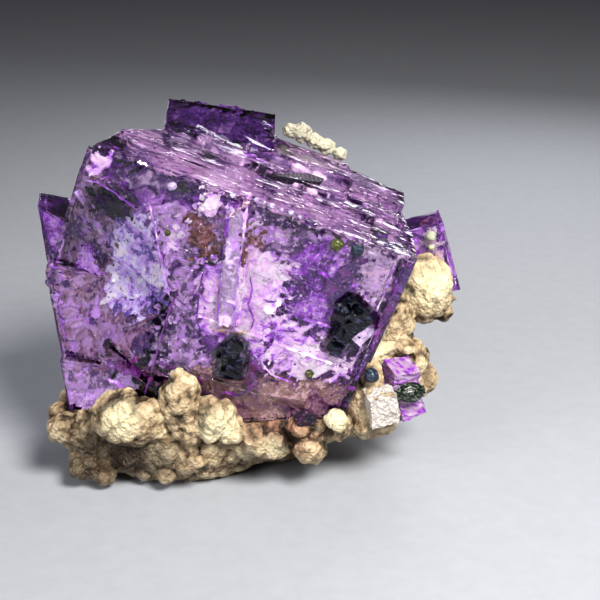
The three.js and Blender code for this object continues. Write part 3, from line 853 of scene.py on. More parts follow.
# Each broken inner face: its colours, its plane, its depth, its seed and its outline on that plane
INNER_FACES = {
    "bright_face_middle": (BRIGHT, FRONT_PLANE, 0.2, 3, [
        (-2.2, 1.5), (-0.9, 2.4), (1.1, 3.6), (3.5, 3.5), (3.6, -1.4), (4.2, -3.9), (2.1, -2.8),
        (-1.0, -2.6), (-1.6, -0.7)]),
    "white_face_low": (BRIGHT, FRONT_PLANE, 0.18, 5, [
        (3.3, 0.4), (5.2, -0.4), (7.6, -0.9), (9.0, -1.4), (9.2, -2.5), (6.4, -3.8), (4.2, -3.9),
        (3.2, -1.6)]),
    "violet_face_right": (DEEP_VIOLET, FRONT_PLANE, 0.35, 7, [
        (3.2, 4.9), (6.0, 5.8), (7.2, 2.4), (7.6, -0.9), (5.2, -0.4), (3.2, 0.4)]),
    "grey_face_right": (WARM_GREY, FRONT_PLANE, 0.4, 9, [
        (6.2, 5.8), (9.4, 5.8), (9.5, 3.4), (9.2, -1.6), (8.7, 2.5), (7.2, 3.0)]),
    "grey_face_upper": (LILAC_GREY, FRONT_PLANE, 0.5, 11, [
        (-6.0, 4.0), (2.5, 6.0), (5.2, 5.8), (3.2, 3.6), (1.0, 3.4), (-2.0, 1.4), (-3.8, 0.0)]),
    "grey_face_left": (LILAC_GREY, FRONT_PLANE, 0.5, 13, [
        (-3.6, 0.6), (-2.2, 1.5), (-1.5, -0.8), (-1.0, -2.7), (0.9, -4.6), (-1.9, -5.7), (-2.2, -4.0)]),
    "rose_face_low": (ROSE, FRONT_PLANE, 0.5, 15, [
        (-1.6, -5.9), (1.0, -4.4), (4.2, -3.9), (9.2, -2.6), (9.6, -4.6), (8.8, -7.0),
        (4.4, -9.0), (2.0, -7.6)]),
    "deep_face_front": (DEEP_VIOLET, FRONT_PLANE, 1.05, 16, [
        (-9.8, 4.5), (-9.8, 5.9), (9.6, 5.9), (9.8, -4.6), (4.4, -8.6), (-1.8, -6.6), (-3.0, -1.0)]),
    # Painted light: the lit left end of the slab, paler than the crystal's lilac
    "lit_face_slab_end": (BRIGHT, FRONT_PLANE, 0.15, 18, [
        (-10.1, 4.4), (-8.75, 4.4), (-8.75, 5.9), (-10.1, 6.0)]),
    "grey_face_rib": (RIB_GREY, FRONT_PLANE, 0.1, 20, [
        (-1.8, 5.5), (-0.7, 5.6), (0.0, 3.1), (0.8, 0.0), (1.3, -1.7), (0.3, -2.0), (-0.7, 1.5),
        (-1.3, 4.0)]),
    "rust_face_by_rib": (RED_BROWN, FRONT_PLANE, 0.3, 37, [
        (-3.8, 4.3), (-2.7, 4.5), (-1.5, 3.5), (-1.2, 2.2), (-2.1, 1.4), (-3.2, 2.6)]),
    "rust_face_right_of_rib": (RED_BROWN, FRONT_PLANE, 0.3, 38, [
        (-0.4, 4.6), (0.8, 4.6), (1.4, 3.1), (0.3, 2.3)]),
    "rust_face_rib_top": (RED_BROWN, FRONT_PLANE, 0.04, 39, [
        (-1.6, 6.0), (-0.9, 6.1), (-0.8, 5.3), (-1.4, 5.1)]),
    # Painted shade: a dark sheet under the overhanging edge of the slab
    "shade_face_under_edge": (SMOKY, FRONT_PLANE, 0.2, 40, [
        (-8.7, 6.0), (-6.1, 6.0), (-3.6, 6.1), (-2.6, 5.9), (-5.1, 4.7), (-7.1, 4.4), (-8.4, 5.0)]),
    "smoky_face_upper": (SMOKY, FRONT_PLANE, 0.3, 42, [
        (-0.3, 6.0), (3.6, 5.9), (2.6, 5.2), (0.6, 5.1)]),
    "white_lump_upper": (BRIGHT, FRONT_PLANE, 0.08, 43, [
        (-3.4, 5.7), (-2.4, 6.0), (-1.8, 4.8), (-2.8, 4.2)]),
    "plum_face_fin": (MAGENTA_DARK, FRONT_PLANE, 0.05, 22, [
        (9.35, 5.8), (10.2, 5.8), (9.95, 1.1), (9.8, -2.6), (9.55, -2.6), (9.5, 3.0)]),
    "wine_crack_vee": (WINE_DARK, FRONT_PLANE, 0.25, 24, [
        (1.0, -4.6), (1.5, -3.6), (3.2, -3.2), (4.2, -3.9), (3.3, -5.8), (2.6, -4.6)]),
    "plum_face_triangle": (MAGENTA_DARK, FRONT_PLANE, 0.12, 26, [
        (6.2, 4.9), (7.4, 5.2), (7.3, 4.0), (6.7, 3.9)]),
    "plum_face_slash": (MAGENTA_DARK, FRONT_PLANE, 0.12, 45, [
        (5.6, 4.5), (6.2, 4.8), (7.5, 2.8), (7.2, 2.5), (6.1, 3.5)]),
    "plum_face_middle": (MAGENTA_DARK, FRONT_PLANE, 0.2, 46, [
        (5.2, 3.0), (6.1, 3.8), (7.5, 2.3), (7.2, 1.7), (5.7, 1.6)]),
    "grey_window_right": (RIB_GREY, FRONT_PLANE, 0.2, 56, [
        (6.9, 5.9), (8.6, 6.1), (8.9, 5.4), (8.1, 5.1), (7.5, 4.5)]),
    "plum_face_end_front": (MAGENTA_DARK, RIGHT_PLANE, 0.15, 55, [
        (-5.9, -4.6), (-4.7, -4.4), (-4.7, 5.8), (-5.9, 5.8)]),
    # Painted highlights: blue-white sparkle over the broken corner face
    "highlight_face_corner": (SPARKLE_HIGHLIGHTS, CLEAVAGE_PLANE, 0.2, 17, [
        (-5.2, -1.0), (-4.9, 3.4), (-2.6, 4.9), (-0.4, 1.0), (-0.2, -0.2), (-2.0, -3.0), (-4.8, -3.2)]),
    "grey_face_left_end": (LEFT_MAUVE, LEFT_PLANE, 0.5, 28, [
        (-4.8, -9.5), (-4.8, 4.5), (-1.2, 5.2), (3.0, 1.5), (4.4, -3.0), (4.6, -6.2), (1.0, -9.8)]),
    "grey_face_low_left": (LILAC_GREY, LOW_LEFT_PLANE, 0.35, 30, [
        (-2.9, -1.4), (2.8, -1.4), (2.8, 1.4), (-2.9, 1.4)]),
    "pale_face_back_crystal": (PALE, BACK_CRYSTAL_PLANE, 0.3, 31, [
        (0.5, -0.6), (1.6, -0.6), (1.7, 2.2), (0.5, 2.3)]),
    "violet_face_back_crystal": (DEEP_VIOLET, BACK_CRYSTAL_PLANE, 0.6, 52, [
        (-1.2, -3.0), (2.2, -3.0), (2.2, 2.9), (-1.2, 2.9)]),
    # Painted shadow: a nearly black sheet in the recess under the slab
    "shadow_face_recess": (NEARLY_BLACK, LEFT_PLANE, 0.12, 32, [
        (-2.7, 2.7), (-1.5, 3.4), (-0.3, 3.3), (1.0, 3.1), (1.0, 2.2), (-0.4, 1.4), (-1.8, 1.3)]),
    "wine_crack_left": (WINE_DARK, LEFT_PLANE, 0.06, 33, [
        (1.8, -6.4), (5.2, -6.4), (5.4, -7.2), (1.8, -7.2)]),
    "wine_crack_middle": (WINE_DARK, FRONT_PLANE, 0.06, 34, [
        (-2.6, -6.3), (0.4, -5.9), (0.4, -6.6), (-2.6, -7.1)]),
    "dusk_face_top_crystal": (DUSKY, TOP_CRYSTAL_FRONT, 0.3, 35, [
        (-1.4, -3.4), (-1.4, 3.4), (1.4, 3.4), (1.4, -3.4)]),
    "dusk_face_top_crystal_top": (DUSKY, TOP_CRYSTAL_TOP, 0.3, 36, [
        (-3.4, -2.1), (3.4, -2.1), (3.4, 2.1), (-3.4, 2.1)]),
    "mauve_face_top_front": (MAUVE_STREAKS, TOP_PLANE, 0.3, 19, [
        (-8.6, -5.7), (9.8, -5.7), (10.1, -0.6), (4.0, -1.2), (-4.0, -0.6), (-8.2, -1.4)]),
    "mauve_face_top_back": (MAUVE_STREAKS, TOP_PLANE, 0.3, 21, [
        (-6.4, -0.8), (4.0, -1.4), (10.1, -0.8), (10.2, 5.8), (1.6, 5.8), (1.6, 1.8), (-6.0, 1.8)]),
    "white_patch_top": (BRIGHT, TOP_PLANE, 0.08, 23, [
        (-1.4, -0.4), (0.2, -0.1), (0.4, 0.7), (-1.0, 0.8)]),
    "black_lens_left": (NEARLY_BLACK, TOP_PLANE, 0.03, 47, [
        (-4.1, -1.5), (-3.5, -1.1), (-2.8, -1.2), (-2.6, -1.6), (-3.3, -1.9)]),
    "black_lens_right": (NEARLY_BLACK, TOP_PLANE, 0.03, 48, [
        (-0.8, -1.1), (0.0, -0.7), (1.0, -0.9), (0.2, -1.3)]),
    "smoky_window_top": (SMOKY, TOP_PLANE, 0.05, 49, [
        (6.2, 0.2), (7.2, 0.4), (7.0, -2.3), (6.3, -1.9)]),
    "smoky_bevel_top": (SMOKY, TOP_PLANE, 0.08, 50, [
        (7.3, -1.6), (8.4, -3.1), (9.5, -5.0), (8.4, -5.6), (7.3, -4.0)]),
    "violet_face_back": (DEEP_VIOLET, BACK_PLANE, 0.5, 27, [
        (-10.2, -8.5), (-10.2, 5.8), (8.5, 5.8), (11.0, -1.5), (9.0, -12.0), (2.0, -10.5)]),
    "violet_face_left_end": (DEEP_VIOLET, LEFT_END_PLANE, 0.4, 53, [
        (-5.8, -12.5), (2.4, -12.5), (2.4, -3.0), (1.0, 2.0), (2.4, 5.8), (-5.8, 5.8)]),
    "mauve_face_top_left": (MAUVE_STREAKS, TOP_PLANE, 0.3, 54, [
        (-10.8, -1.5), (-8.2, -3.0), (-6.2, -0.8), (-6.0, 1.8), (-7.4, 5.7), (-10.4, 4.8)]),
    "violet_face_end": (DEEP_VIOLET, RIGHT_PLANE, 0.4, 29, [
        (-5.4, -3.0), (5.6, -2.0), (5.6, 5.8), (-5.4, 5.8)]),
}


# Small crystals by the front face: their colours, shade, middle, sizes and turn in the crystal's frame
SMALL_BLOCKS = {
    "lilac_crystal_by_grain": (
        LILAC_GREY, 0.15, (9.0, CRYSTAL_FRONT + 0.15, 0.5), (0.75, 0.5, 1.4), (0, 24, 8)),
    "plum_crystal_low": (WINE_DARK, -0.1, (7.57, -6.94, -5.8), (1.25, 0.9, 0.85), (12, -34, 20)),
}


def small_blocks():
    """A lilac-grey crystal that leans against the right black grain, and a dark one in the crust below."""
    for seed, (name, (colours, shade, at, size, turn)) in enumerate(SMALL_BLOCKS.items(), start=12):
        block = turned_block(name, at, size, turn, CRYSTAL_PLACE)
        split_long_edges(block, 0.09)
        push(block, 0.03 * smooth_noise(points_of(block), 0.35, seed))
        mark_evenly(block, shade=shade, crease=1)
        round_over(block, 30)
        finish_piece(block, face_material(colours))


# Shards under the skin: their colours, plane, number, sizes, tilt, seed and the outline that holds them
SHARDS = {
    # Painted glints: shards that sparkle blue-white at the corner
    "glint_shards_corner": (SPARKLE_HIGHLIGHTS, CLEAVAGE_PLANE, 420, (0.06, 0.3), 0.9, 61, [
        (-5.0, -2.6), (-4.7, 3.0), (-2.5, 4.6), (-0.4, 0.6), (-0.6, -0.8), (-2.0, -3.0)]),
    "bright_shards_middle": (BRIGHT, FRONT_PLANE, 340, (0.06, 0.36), 0.5, 62, [
        (-2.2, 1.5), (-0.9, 2.4), (1.1, 3.6), (3.5, 3.5), (5.0, 1.0), (9.0, -1.4), (9.2, -2.5),
        (4.2, -3.9), (-1.0, -2.6)]),
    "violet_shards_right": (DEEP_VIOLET, FRONT_PLANE, 220, (0.08, 0.45), 0.6, 63, [
        (2.2, 3.2), (3.2, 5.5), (6.4, 5.8), (8.0, 2.0), (7.6, -0.9), (4.0, -0.2)]),
    "rust_shards_upper": (RED_BROWN, FRONT_PLANE, 110, (0.08, 0.4), 0.6, 64, [
        (-3.8, 4.6), (1.4, 5.0), (1.4, 2.6), (-2.6, 1.2)]),
    "lilac_shards_upper": (LILAC_GREY, FRONT_PLANE, 300, (0.06, 0.4), 0.7, 65, [
        (-6.0, 4.0), (-3.0, 5.6), (8.8, 5.6), (9.2, 2.0), (4.0, 4.4), (-2.0, 2.6), (-4.6, 0.0)]),
    "mauve_shards_left": (LEFT_MAUVE, LEFT_PLANE, 240, (0.1, 0.6), 0.6, 66, [
        (-3.8, -6.0), (-3.8, 2.0), (0.4, 1.2), (2.4, 0.0), (3.6, -5.6)]),
    "lilac_shards_low": (LILAC_GREY, FRONT_PLANE, 160, (0.08, 0.4), 0.7, 67, [
        (-4.0, -1.5), (-1.2, -1.0), (-0.6, -3.4), (0.6, -4.8), (-2.2, -7.0)]),
    "mauve_shards_top": (MAUVE_STREAKS, TOP_PLANE, 260, (0.05, 0.2), 0.3, 68, [
        (-8.0, -5.4), (9.6, -5.6), (9.6, 3.0), (1.6, 3.0), (-6.0, 1.0)]),
    "violet_shards_back": (DEEP_VIOLET, BACK_PLANE, 200, (0.1, 0.6), 0.6, 69, [
        (-9.0, -6.0), (-9.0, 5.8), (6.5, 5.8), (9.0, -6.0)]),
}


# How thick the shards are, in millimetres
SHARD_THICKNESS = 0.02


def shards(name, plane, count, sizes, tilt, seed, outline):
    """Many thin broken plates under the skin, each with its own outline, tilt and shade."""
    random = np.random.default_rng(seed)
    origin, axes, normal = plane_axes(plane)
    places = random.uniform(np.min(outline, axis=0), np.max(outline, axis=0), (count * 3, 2))
    places = places[inside_depth(places, outline) > 0][:count]
    on_plane = origin + places @ axes
    points, faces, shades = [], [], []
    for place, rise in zip(on_plane, surface_heights(on_plane, normal)):
        if not np.isfinite(rise):
            continue
        radius = math.exp(random.uniform(*np.log(sizes)))
        leans = random.uniform(-tilt, tilt, 2)
        middle = place + normal * (rise - radius * np.abs(leans).sum() - random.uniform(0.06, 0.3))
        sides = np.array([axes[0] + normal * leans[0], axes[1] + normal * leans[1]])
        angles = np.sort(random.uniform(0, math.tau, random.integers(4, 8)))
        reach = radius * random.uniform(0.6, 1.0, len(angles))
        corners = np.stack([np.cos(angles) * reach, np.sin(angles) * reach], 1) @ sides + middle
        faces.append(tuple(range(len(points), len(points) + len(corners))))
        points += list(corners)
        shades += [random.uniform(-0.2, 1)] * len(corners)
    plates = new_piece(name, points, faces, CRYSTAL_PLACE)
    mark(plates, "shade", shades)
    mark_evenly(plates, crease=1)
    thicken(plates, SHARD_THICKNESS)
    return plates


# Lines of cracks and of painted highlights and glints along edges: their colours, seed, and for each its
# plane, width and places along it
LINES = {
    # Painted highlights: white lines where edges catch the light
    "highlight_edges": (EDGE_HIGHLIGHT_WHITE, 81, [
        (FRONT_PLANE, 0.1, [(-6.2, 4.1), (-5.4, 2.8), (-4.6, 1.4), (-3.8, 0.0), (-2.9, -1.5)]),
        (LEFT_PLANE, 0.12, [(-2.9, 2.9), (-1.9, 3.3), (-0.6, 3.3), (1.1, 3.1)]),
        (FRONT_PLANE, 0.2, [(-1.8, 5.6), (-1.4, 4.4), (-1.2, 3.4)]),
        (FRONT_PLANE, 0.2, [(-0.7, 6.0), (-0.6, 5.2), (-0.2, 3.9)]),
        (FRONT_PLANE, 0.07, [(-0.2, 3.9), (0.1, 2.4), (0.9, -0.2), (1.35, -1.7)]),
        (FRONT_PLANE, 0.07, [(-1.2, 3.4), (-0.7, 1.5), (0.25, -2.0)]),
        (FRONT_PLANE, 0.09, [(2.6, -2.6), (3.6, -3.3), (4.6, -3.9), (6.0, -4.0)]),
        (FRONT_PLANE, 0.07, [(9.1, 5.4), (9.15, 3.0), (9.2, -2.2)]),
        (LEFT_PLANE, 0.2, [(2.6, -8.6), (3.6, -8.4), (4.8, -8.6)]),
    ]),
    # Painted glints: orange lines at the foot of the rib
    "orange_glint_edges": (EDGE_GLINT_ORANGE, 82, [
        (FRONT_PLANE, 0.14, [(0.25, -2.0), (1.3, -1.75)]),
        (FRONT_PLANE, 0.12, [(0.0, -2.3), (1.6, -2.0), (2.4, -1.7)]),
    ]),
    "violet_cracks": (DEEP_VIOLET, 83, [
        (FRONT_PLANE, 0.12, [(1.0, 1.8), (1.5, 0.9), (1.6, -0.1), (2.3, -0.9), (2.3, -1.7)]),
        (FRONT_PLANE, 0.16, [(2.3, 0.5), (3.7, 0.7), (4.9, 0.2), (6.0, 0.3), (7.2, 0.2)]),
        (FRONT_PLANE, 0.14, [(1.9, 3.0), (2.5, 3.5), (3.5, 3.6), (4.7, 3.6), (5.7, 3.1)]),
        (FRONT_PLANE, 0.14, [(1.6, -2.2), (3.0, -2.1), (4.0, -1.0), (5.2, -0.7)]),
        (FRONT_PLANE, 0.12, [(-1.8, 1.6), (-1.5, -0.2), (-1.0, -2.1), (0.0, -3.2)]),
    ]),
    "wine_cracks": (MAGENTA_DARK, 84, [
        (FRONT_PLANE, 0.09, [(-2.7, -0.7), (-2.7, -3.0), (-2.5, -5.5), (-2.3, -8.1)]),
        (FRONT_PLANE, 0.2, [(2.9, 2.8), (3.9, 2.4), (4.6, 1.7)]),
        (FRONT_PLANE, 0.24, [(2.7, -2.9), (3.5, -3.6), (4.2, -4.0)]),
        (FRONT_PLANE, 0.3, [(1.2, -5.0), (1.8, -3.6), (2.9, -3.9), (3.9, -4.7)]),
        (FRONT_PLANE, 0.25, [(2.1, -6.2), (3.3, -6.0), (3.9, -4.7)]),
        (LEFT_PLANE, 0.5, [(2.1, -7.6), (2.9, -7.4), (4.0, -7.3), (4.9, -6.7)]),
        (FRONT_PLANE, 0.25, [(-2.4, -5.6), (-1.3, -5.6), (-0.1, -5.8)]),
    ]),
}


# Strips along lines, in millimetres: how deep they lie, how thick they are, how far apart their points are,
# and how long their ends narrow
LINE_DEPTH = 0.05
LINE_THICKNESS = 0.03
LINE_STEP = 0.12
LINE_TAPER = 0.4


def strip_sides(line, width, random):
    """The two sides of a thin, uneven strip along a line, which narrows to its ends."""
    line = np.array(line)
    lengths = np.concatenate([[0], np.cumsum(np.linalg.norm(np.diff(line, axis=0), axis=1))])
    count = int(lengths[-1] / LINE_STEP) + 2
    along = np.linspace(0, lengths[-1], count)
    path = np.stack([np.interp(along, lengths, line[:, i]) for i in (0, 1)], 1)
    path += random.normal(0, width * 0.15, path.shape)
    side = np.gradient(path, axis=0)[:, ::-1] * (-1, 1)
    side /= np.linalg.norm(side, axis=1)[:, None]
    taper = np.clip(np.minimum(along, lengths[-1] - along) / LINE_TAPER, 0.15, 1)
    half = width * 0.5 * taper * random.uniform(0.6, 1.3, count)
    return path + side * half[:, None], path - side * half[:, None]


def line_strips(name, lines, seed):
    """Thin strips under the skin that run along lines."""
    random = np.random.default_rng(seed)
    points, faces = [], []
    for plane, width, line in lines:
        origin, axes, normal = plane_axes(plane)
        sides = strip_sides(line, width, random)
        start, count = len(points), len(sides[0])
        for side in sides:
            on_plane = origin + side @ axes
            heights = np.nan_to_num(surface_heights(on_plane, normal), nan=-REACH)
            points += list(on_plane + (heights[:, None] - LINE_DEPTH) * normal)
        for first in range(start, start + count - 1):
            faces.append((first, first + 1, first + count + 1, first + count))
    strips = new_piece(name, points, faces, CRYSTAL_PLACE)
    mark_evenly(strips, shade=0.4, crease=1)
    thicken(strips, LINE_THICKNESS, 0)
    return strips


# The wedge in the top, painted black as the shadow side of a step, in the crystal's frame: its outline, its
# foot, its top at the left end, and how much it rises a millimetre
WEDGE_OUTLINE = ((0.3, -1.6), (2.4, -1.3), (3.9, -0.5), (4.2, 0.5), (3.2, 0.8), (1.7, -0.4))
WEDGE_FOOT = 6.3
WEDGE_TOP = 6.9
WEDGE_RISE = 0.11


def shaded_wedge():
    """The wedge that stands in the top, thin at its left end and ridged along its front, painted nearly black
    as the shadow side of a step.
    """
    left = WEDGE_OUTLINE[0][0]
    tops = [WEDGE_TOP + WEDGE_RISE * (x - left) for x, _ in WEDGE_OUTLINE]
    wedge = prism("shaded_wedge_top", WEDGE_OUTLINE, WEDGE_FOOT, tops, CRYSTAL_PLACE)
    split_long_edges(wedge, 0.08)
    along = in_crystal(points_of(wedge))[:, 0]
    push(wedge, 0.035 * np.abs(np.sin(along * 11)) - 0.03)
    mark_evenly(wedge, shade=0, crease=1)
    round_over(wedge, 25)
    finish_piece(wedge, face_material(NEARLY_BLACK))


FACE_MATERIALS = {}


def face_material(colours):
    """The material of broken faces with these colours, made once."""
    if colours not in FACE_MATERIALS:
        FACE_MATERIALS[colours] = broken_face_material(f"broken_face_{len(FACE_MATERIALS)}", colours)
    return FACE_MATERIALS[colours]


def inner_faces():
    """All broken faces, shards and lines inside the crystal."""
    for name, (colours, plane, depth, seed, outline) in INNER_FACES.items():
        finish_piece(broken_face(name, outline, plane, depth, seed), face_material(colours))
    for name, (colours, *rest) in SHARDS.items():
        finish_piece(shards(name, *rest), face_material(colours))
    for name, (colours, seed, lines) in LINES.items():
        finish_piece(line_strips(name, lines, seed), face_material(colours))


# The calcite

# The white block: its middle, its sizes and its turn in the specimen's frame
RHOMB = ((8.35, -5.6, 5.4), (1.85, 1.75, 2.0), (6, -6, 14))

# Places in the specimen's frame where the calcite turns brown with painted shade, white (the white block's
# own colour, and painted highlights on lit nodules) or rose: a middle, a reach and a strength
BROWN_AND_SHADE_PLACES = [
    ((-7.6, -6.5, 2.3), 3.2, 1.0),
    ((-10.4, -6.8, 2.4), 3.2, 0.9),
    ((-5.6, -6.6, 2.4), 2.4, 0.8),
    ((-12.6, -4.0, 2.6), 2.4, 0.8),
    ((0.5, -7.0, 1.4), 3.6, 0.5),
    ((6.5, -5.5, 2.4), 2.6, 0.6),
]
WHITE_AND_HIGHLIGHT_PLACES = [
    (RHOMB[0], 1.3, 1.0),
    ((-7.8, -7.8, 5.4), 1.6, 0.6),
    ((-1.7, -7.6, 4.7), 1.7, 0.7),
    ((1.4, -7.4, 3.1), 1.3, 0.4),
    ((5.3, -7.0, 5.1), 1.3, 0.75),
    ((12.0, -0.4, 11.6), 2.2, 0.7),
    ((8.4, -2.9, 8.3), 1.6, 0.4),
]
ROSE_PLACES = [((2.2, -5.6, 4.6), 3.4, 1.0), ((5.2, -5.0, 5.0), 2.0, 0.7)]

# The nodules have no relief near the white block, which would come through it
RHOMB_CLEARANCE = [(RHOMB[0], 3.2, 1.0)]

# The depths of coarse, middle and fine nodules, how much of them lies under the CAD surface, and the share of
# each in the height that picks the colour, which paints shade into the creases and light onto the tops
NODULE_DEPTHS = (0.3, 0.16, 0.06)
NODULE_SINK = 0.26
NODULE_SHARES = (0.45, 0.35, 0.2)

# Points of the crust this near to the floor stay on it, and the others stay this far inside the CAD box
FLOOR_GAP = 0.05
BOX_GAP = 0.02


def nearness(points, places):
    """How near each point is to the nearest of the places, from 0 to that place's strength."""
    total = np.zeros(len(points))
    for middle, reach, strength in places:
        away = np.linalg.norm(points - np.array(middle), axis=1) / reach
        total = np.maximum(total, strength * np.clip(1.5 - away * 1.5, 0, 1))
    return total


def keep_in_box(points):
    """The points moved to stay on the floor and inside the CAD model's box."""
    low, high = (np.array(corner) / MM + gap for corner, gap in zip(CAD_BOX, (BOX_GAP, -BOX_GAP)))
    points[:, 2] = np.maximum(points[:, 2], 0)
    points[:, :2] = np.clip(points[:, :2], low[:2], high[:2])
    return points


def calcite_crust(looks):
    """The crust's even mesh with three sizes of nodules, and the marks that its colours follow, among them
    its painted shade and painted highlights.
    """
    crust = node_copy("calcite_crust", "cream_calcite_crust")
    remesh(crust, looks.voxel / MM)
    points = points_of(crust)
    nodule = looks.nodule_size / MM
    coarse, middle, fine = (nodule_height(points, nodule / 2**n, n + 1) for n in range(3))
    nodules = NODULE_DEPTHS[0] * coarse + NODULE_DEPTHS[1] * middle + NODULE_DEPTHS[2] * fine
    relief = (nodules - NODULE_SINK) * (1 - nearness(points, RHOMB_CLEARANCE))
    push(crust, np.where(points[:, 2] < FLOOR_GAP, 0, relief))
    move_points(crust, keep_in_box(points_of(crust)))
    height = NODULE_SHARES[0] * coarse + NODULE_SHARES[1] * middle + NODULE_SHARES[2] * fine
    # Painted shade and light: the cubed height darkens the creases and lightens the nodule tops
    mark(crust, "height", height**3)
    # Painted shade on the shaded lower left and in the hollows, with the calcite's own brown
    mark(crust, "brown", nearness(points, BROWN_AND_SHADE_PLACES))
    # The white block's own white, and painted highlights on the lit nodules
    mark(crust, "white", nearness(points, WHITE_AND_HIGHLIGHT_PLACES))
    mark(crust, "rose", nearness(points, ROSE_PLACES))
    round_over(crust, 40)
    finish_piece(crust, calcite_material("cream_calcite", looks, looks.white))
    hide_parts("calcite_crust")


def cleavage_rhomb(looks):
    """The frosted white cleavage block that stands out of the right lobe."""
    rhomb = turned_block("white_calcite_rhomb", *RHOMB, SPECIMEN_PLACE)
    split_long_edges(rhomb, 0.1)
    points = points_of(rhomb)
    steps = 0.04 * np.round(smooth_noise(points * (1, 1, 0.4), 0.4, 6) * 3)
    push(rhomb, steps + 0.02 * smooth_noise(points, 0.15, 7) - 0.04)
    mark_evenly(rhomb, height=0.6, brown=0, rose=0)
    mark(rhomb, "white", 0.75 + 0.25 * smooth_noise(points, 0.6, 8))
    round_over(rhomb, 25)
    finish_piece(rhomb, calcite_material("frosted_calcite", looks, looks.frosted))


def back_grains(looks):
    """The pale grains on the back ridge, with fine nodules."""
    grains = node_copy("calcite_grains_back", "cream_calcite_grains")
    remesh(grains, 0.09)
    fine = nodule_height(points_of(grains), 0.35, 4)
    push(grains, 0.14 * fine - 0.1)
    # Painted shade and light: the fine nodules' creases are darker and their tops paler
    mark(grains, "height", 0.5 + 0.5 * fine)
    mark_evenly(grains, brown=0, white=0.7, rose=0)
    round_over(grains, 40)
    finish_piece(grains, calcite_material("ridge_calcite", looks, looks.ridge))
    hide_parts("calcite_grains_back")


# The grains

# How many blocks grow on a dark grain, and how many chips come off it
GROWTH_COUNT = 9
GRAIN_CHIP_COUNT = 10

# The colours of the small violet crystals' streaks, from dark to light
SMALL_CRYSTAL = ((0.3, DEEP), (0.4, VIOLET), (0.5, MAUVE), (0.6, GREY_LILAC), (0.76, PALE_MAUVE))

# The ridged facet between them: its place and its turn in the specimen's frame
FACET_PLACE = Matrix.Translation(Vector((10.25, -4.75, 5.95)) * MM) @ turned((62, 14, 10))
FACET_GRID = (44, 30)
FACET_HALF_HEIGHT = 0.65
FACET_THICKNESS = 0.25
FACET_COLOURS = ((0.004, 0.006, 0.005), (0.15, 0.18, 0.14), 0.3)

# The beads' finishes: a deep colour, a glint and the size of their stripes
BEAD_FINISHES = {
    "slate": ((0.01, 0.016, 0.03), (0.07, 0.1, 0.15), 0.3),
    "olive": ((0.03, 0.035, 0.008), (0.24, 0.25, 0.07), 0.25),
    "white": ((0.3, 0.22, 0.42), (0.85, 0.8, 0.95), 0.2),
    "pale": ((0.3, 0.33, 0.22), (0.8, 0.82, 0.7), 0.2),
}
DARK_BEAD_STRIPE = 0.4

# Beads beside the front face: a name, a place in the specimen's frame, a radius, a finish and a seed
BEADS = [
    ("dark_bead_left", (-5.9, -6.4, 2.9), 0.33, "dark", 1),
    ("slate_bead_right", (7.75, -5.2, 7.3), 0.45, "slate", 2),
    ("pale_bead_back", (11.9, 1.8, 14.3), 0.34, "pale", 20),
    ("pale_bead_back_low", (11.95, 1.85, 13.5), 0.22, "pale", 21),
]

# Beads on the front and on the top edge: a name, a place in the crystal's frame, a radius and a finish
CRYSTAL_BEADS = [
    ("olive_bead_upper", (5.2, -6.0, 5.4), 0.42, "olive"),
    ("teal_bead_upper", (6.5, -6.0, 5.5), 0.4, "slate"),
    ("olive_bead_low", (6.8, -6.0, -3.1), 0.3, "olive"),
    ("olive_bead_left", (-4.5, -6.0, 2.6), 0.2, "olive"),
    ("white_bead_left", (-5.2, -5.95, 5.4), 0.28, "white"),
    ("white_bead_rib", (-1.7, -6.05, 6.1), 0.16, "white"),
    ("white_bead_edge_1", (-0.3, -6.0, 6.35), 0.14, "white"),
    ("white_bead_edge_2", (0.2, -6.0, 6.35), 0.1, "white"),
    ("white_bead_edge_3", (0.7, -6.0, 6.3), 0.17, "white"),
    ("white_bead_edge_4", (1.3, -6.0, 6.3), 0.12, "white"),
    ("white_bead_edge_5", (1.9, -6.0, 6.3), 0.18, "white"),
    ("white_bead_edge_6", (2.5, -6.0, 6.25), 0.11, "white"),
    ("black_bead_low_1", (4.6, -6.0, -7.3), 0.12, "dark"),
    ("black_bead_low_2", (-1.6, -6.0, -7.6), 0.2, "dark"),
]


def scattered_block(name, at, largest, random):
    """A block in the specimen's frame with random sizes and a random turn."""
    size = random.uniform(0.3, largest, 3)
    return turned_block(name, at, size, random.uniform(0, 90, 3), SPECIMEN_PLACE)


def dark_grain(node, looks, seed):
    """A broken black grain: the node's blocks with smaller blocks grown on, and chips off its faces."""
    random = np.random.default_rng(seed)
    grain = node_copy(node, node.replace("dark", "black"))
    low, high = (np.array(corner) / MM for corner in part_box(node))
    reach = high - low
    growths, chips = [], []
    for _ in range(GROWTH_COUNT):
        at = random.uniform(low + reach * 0.2, high - reach * 0.2)
        growths.append(scattered_block("growth", at, 1.0, random))
    for _ in range(GRAIN_CHIP_COUNT):
        at = random.uniform(low, high) * (1, 0, 1) + (0, low[1] + random.uniform(-0.1, 0.5), 0)
        chips.append(scattered_block("chip", at, 0.9, random))
    combine(grain, growths, "UNION")
    combine(grain, chips, "DIFFERENCE")
    split_long_edges(grain, 0.12)
    push(grain, 0.03 * smooth_noise(points_of(grain), 0.25, seed) - 0.02)
    round_over(grain, 12)
    finish_piece(grain, dark_material(node + "_finish", looks.dark, looks.glint, 0.5))
    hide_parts(node)


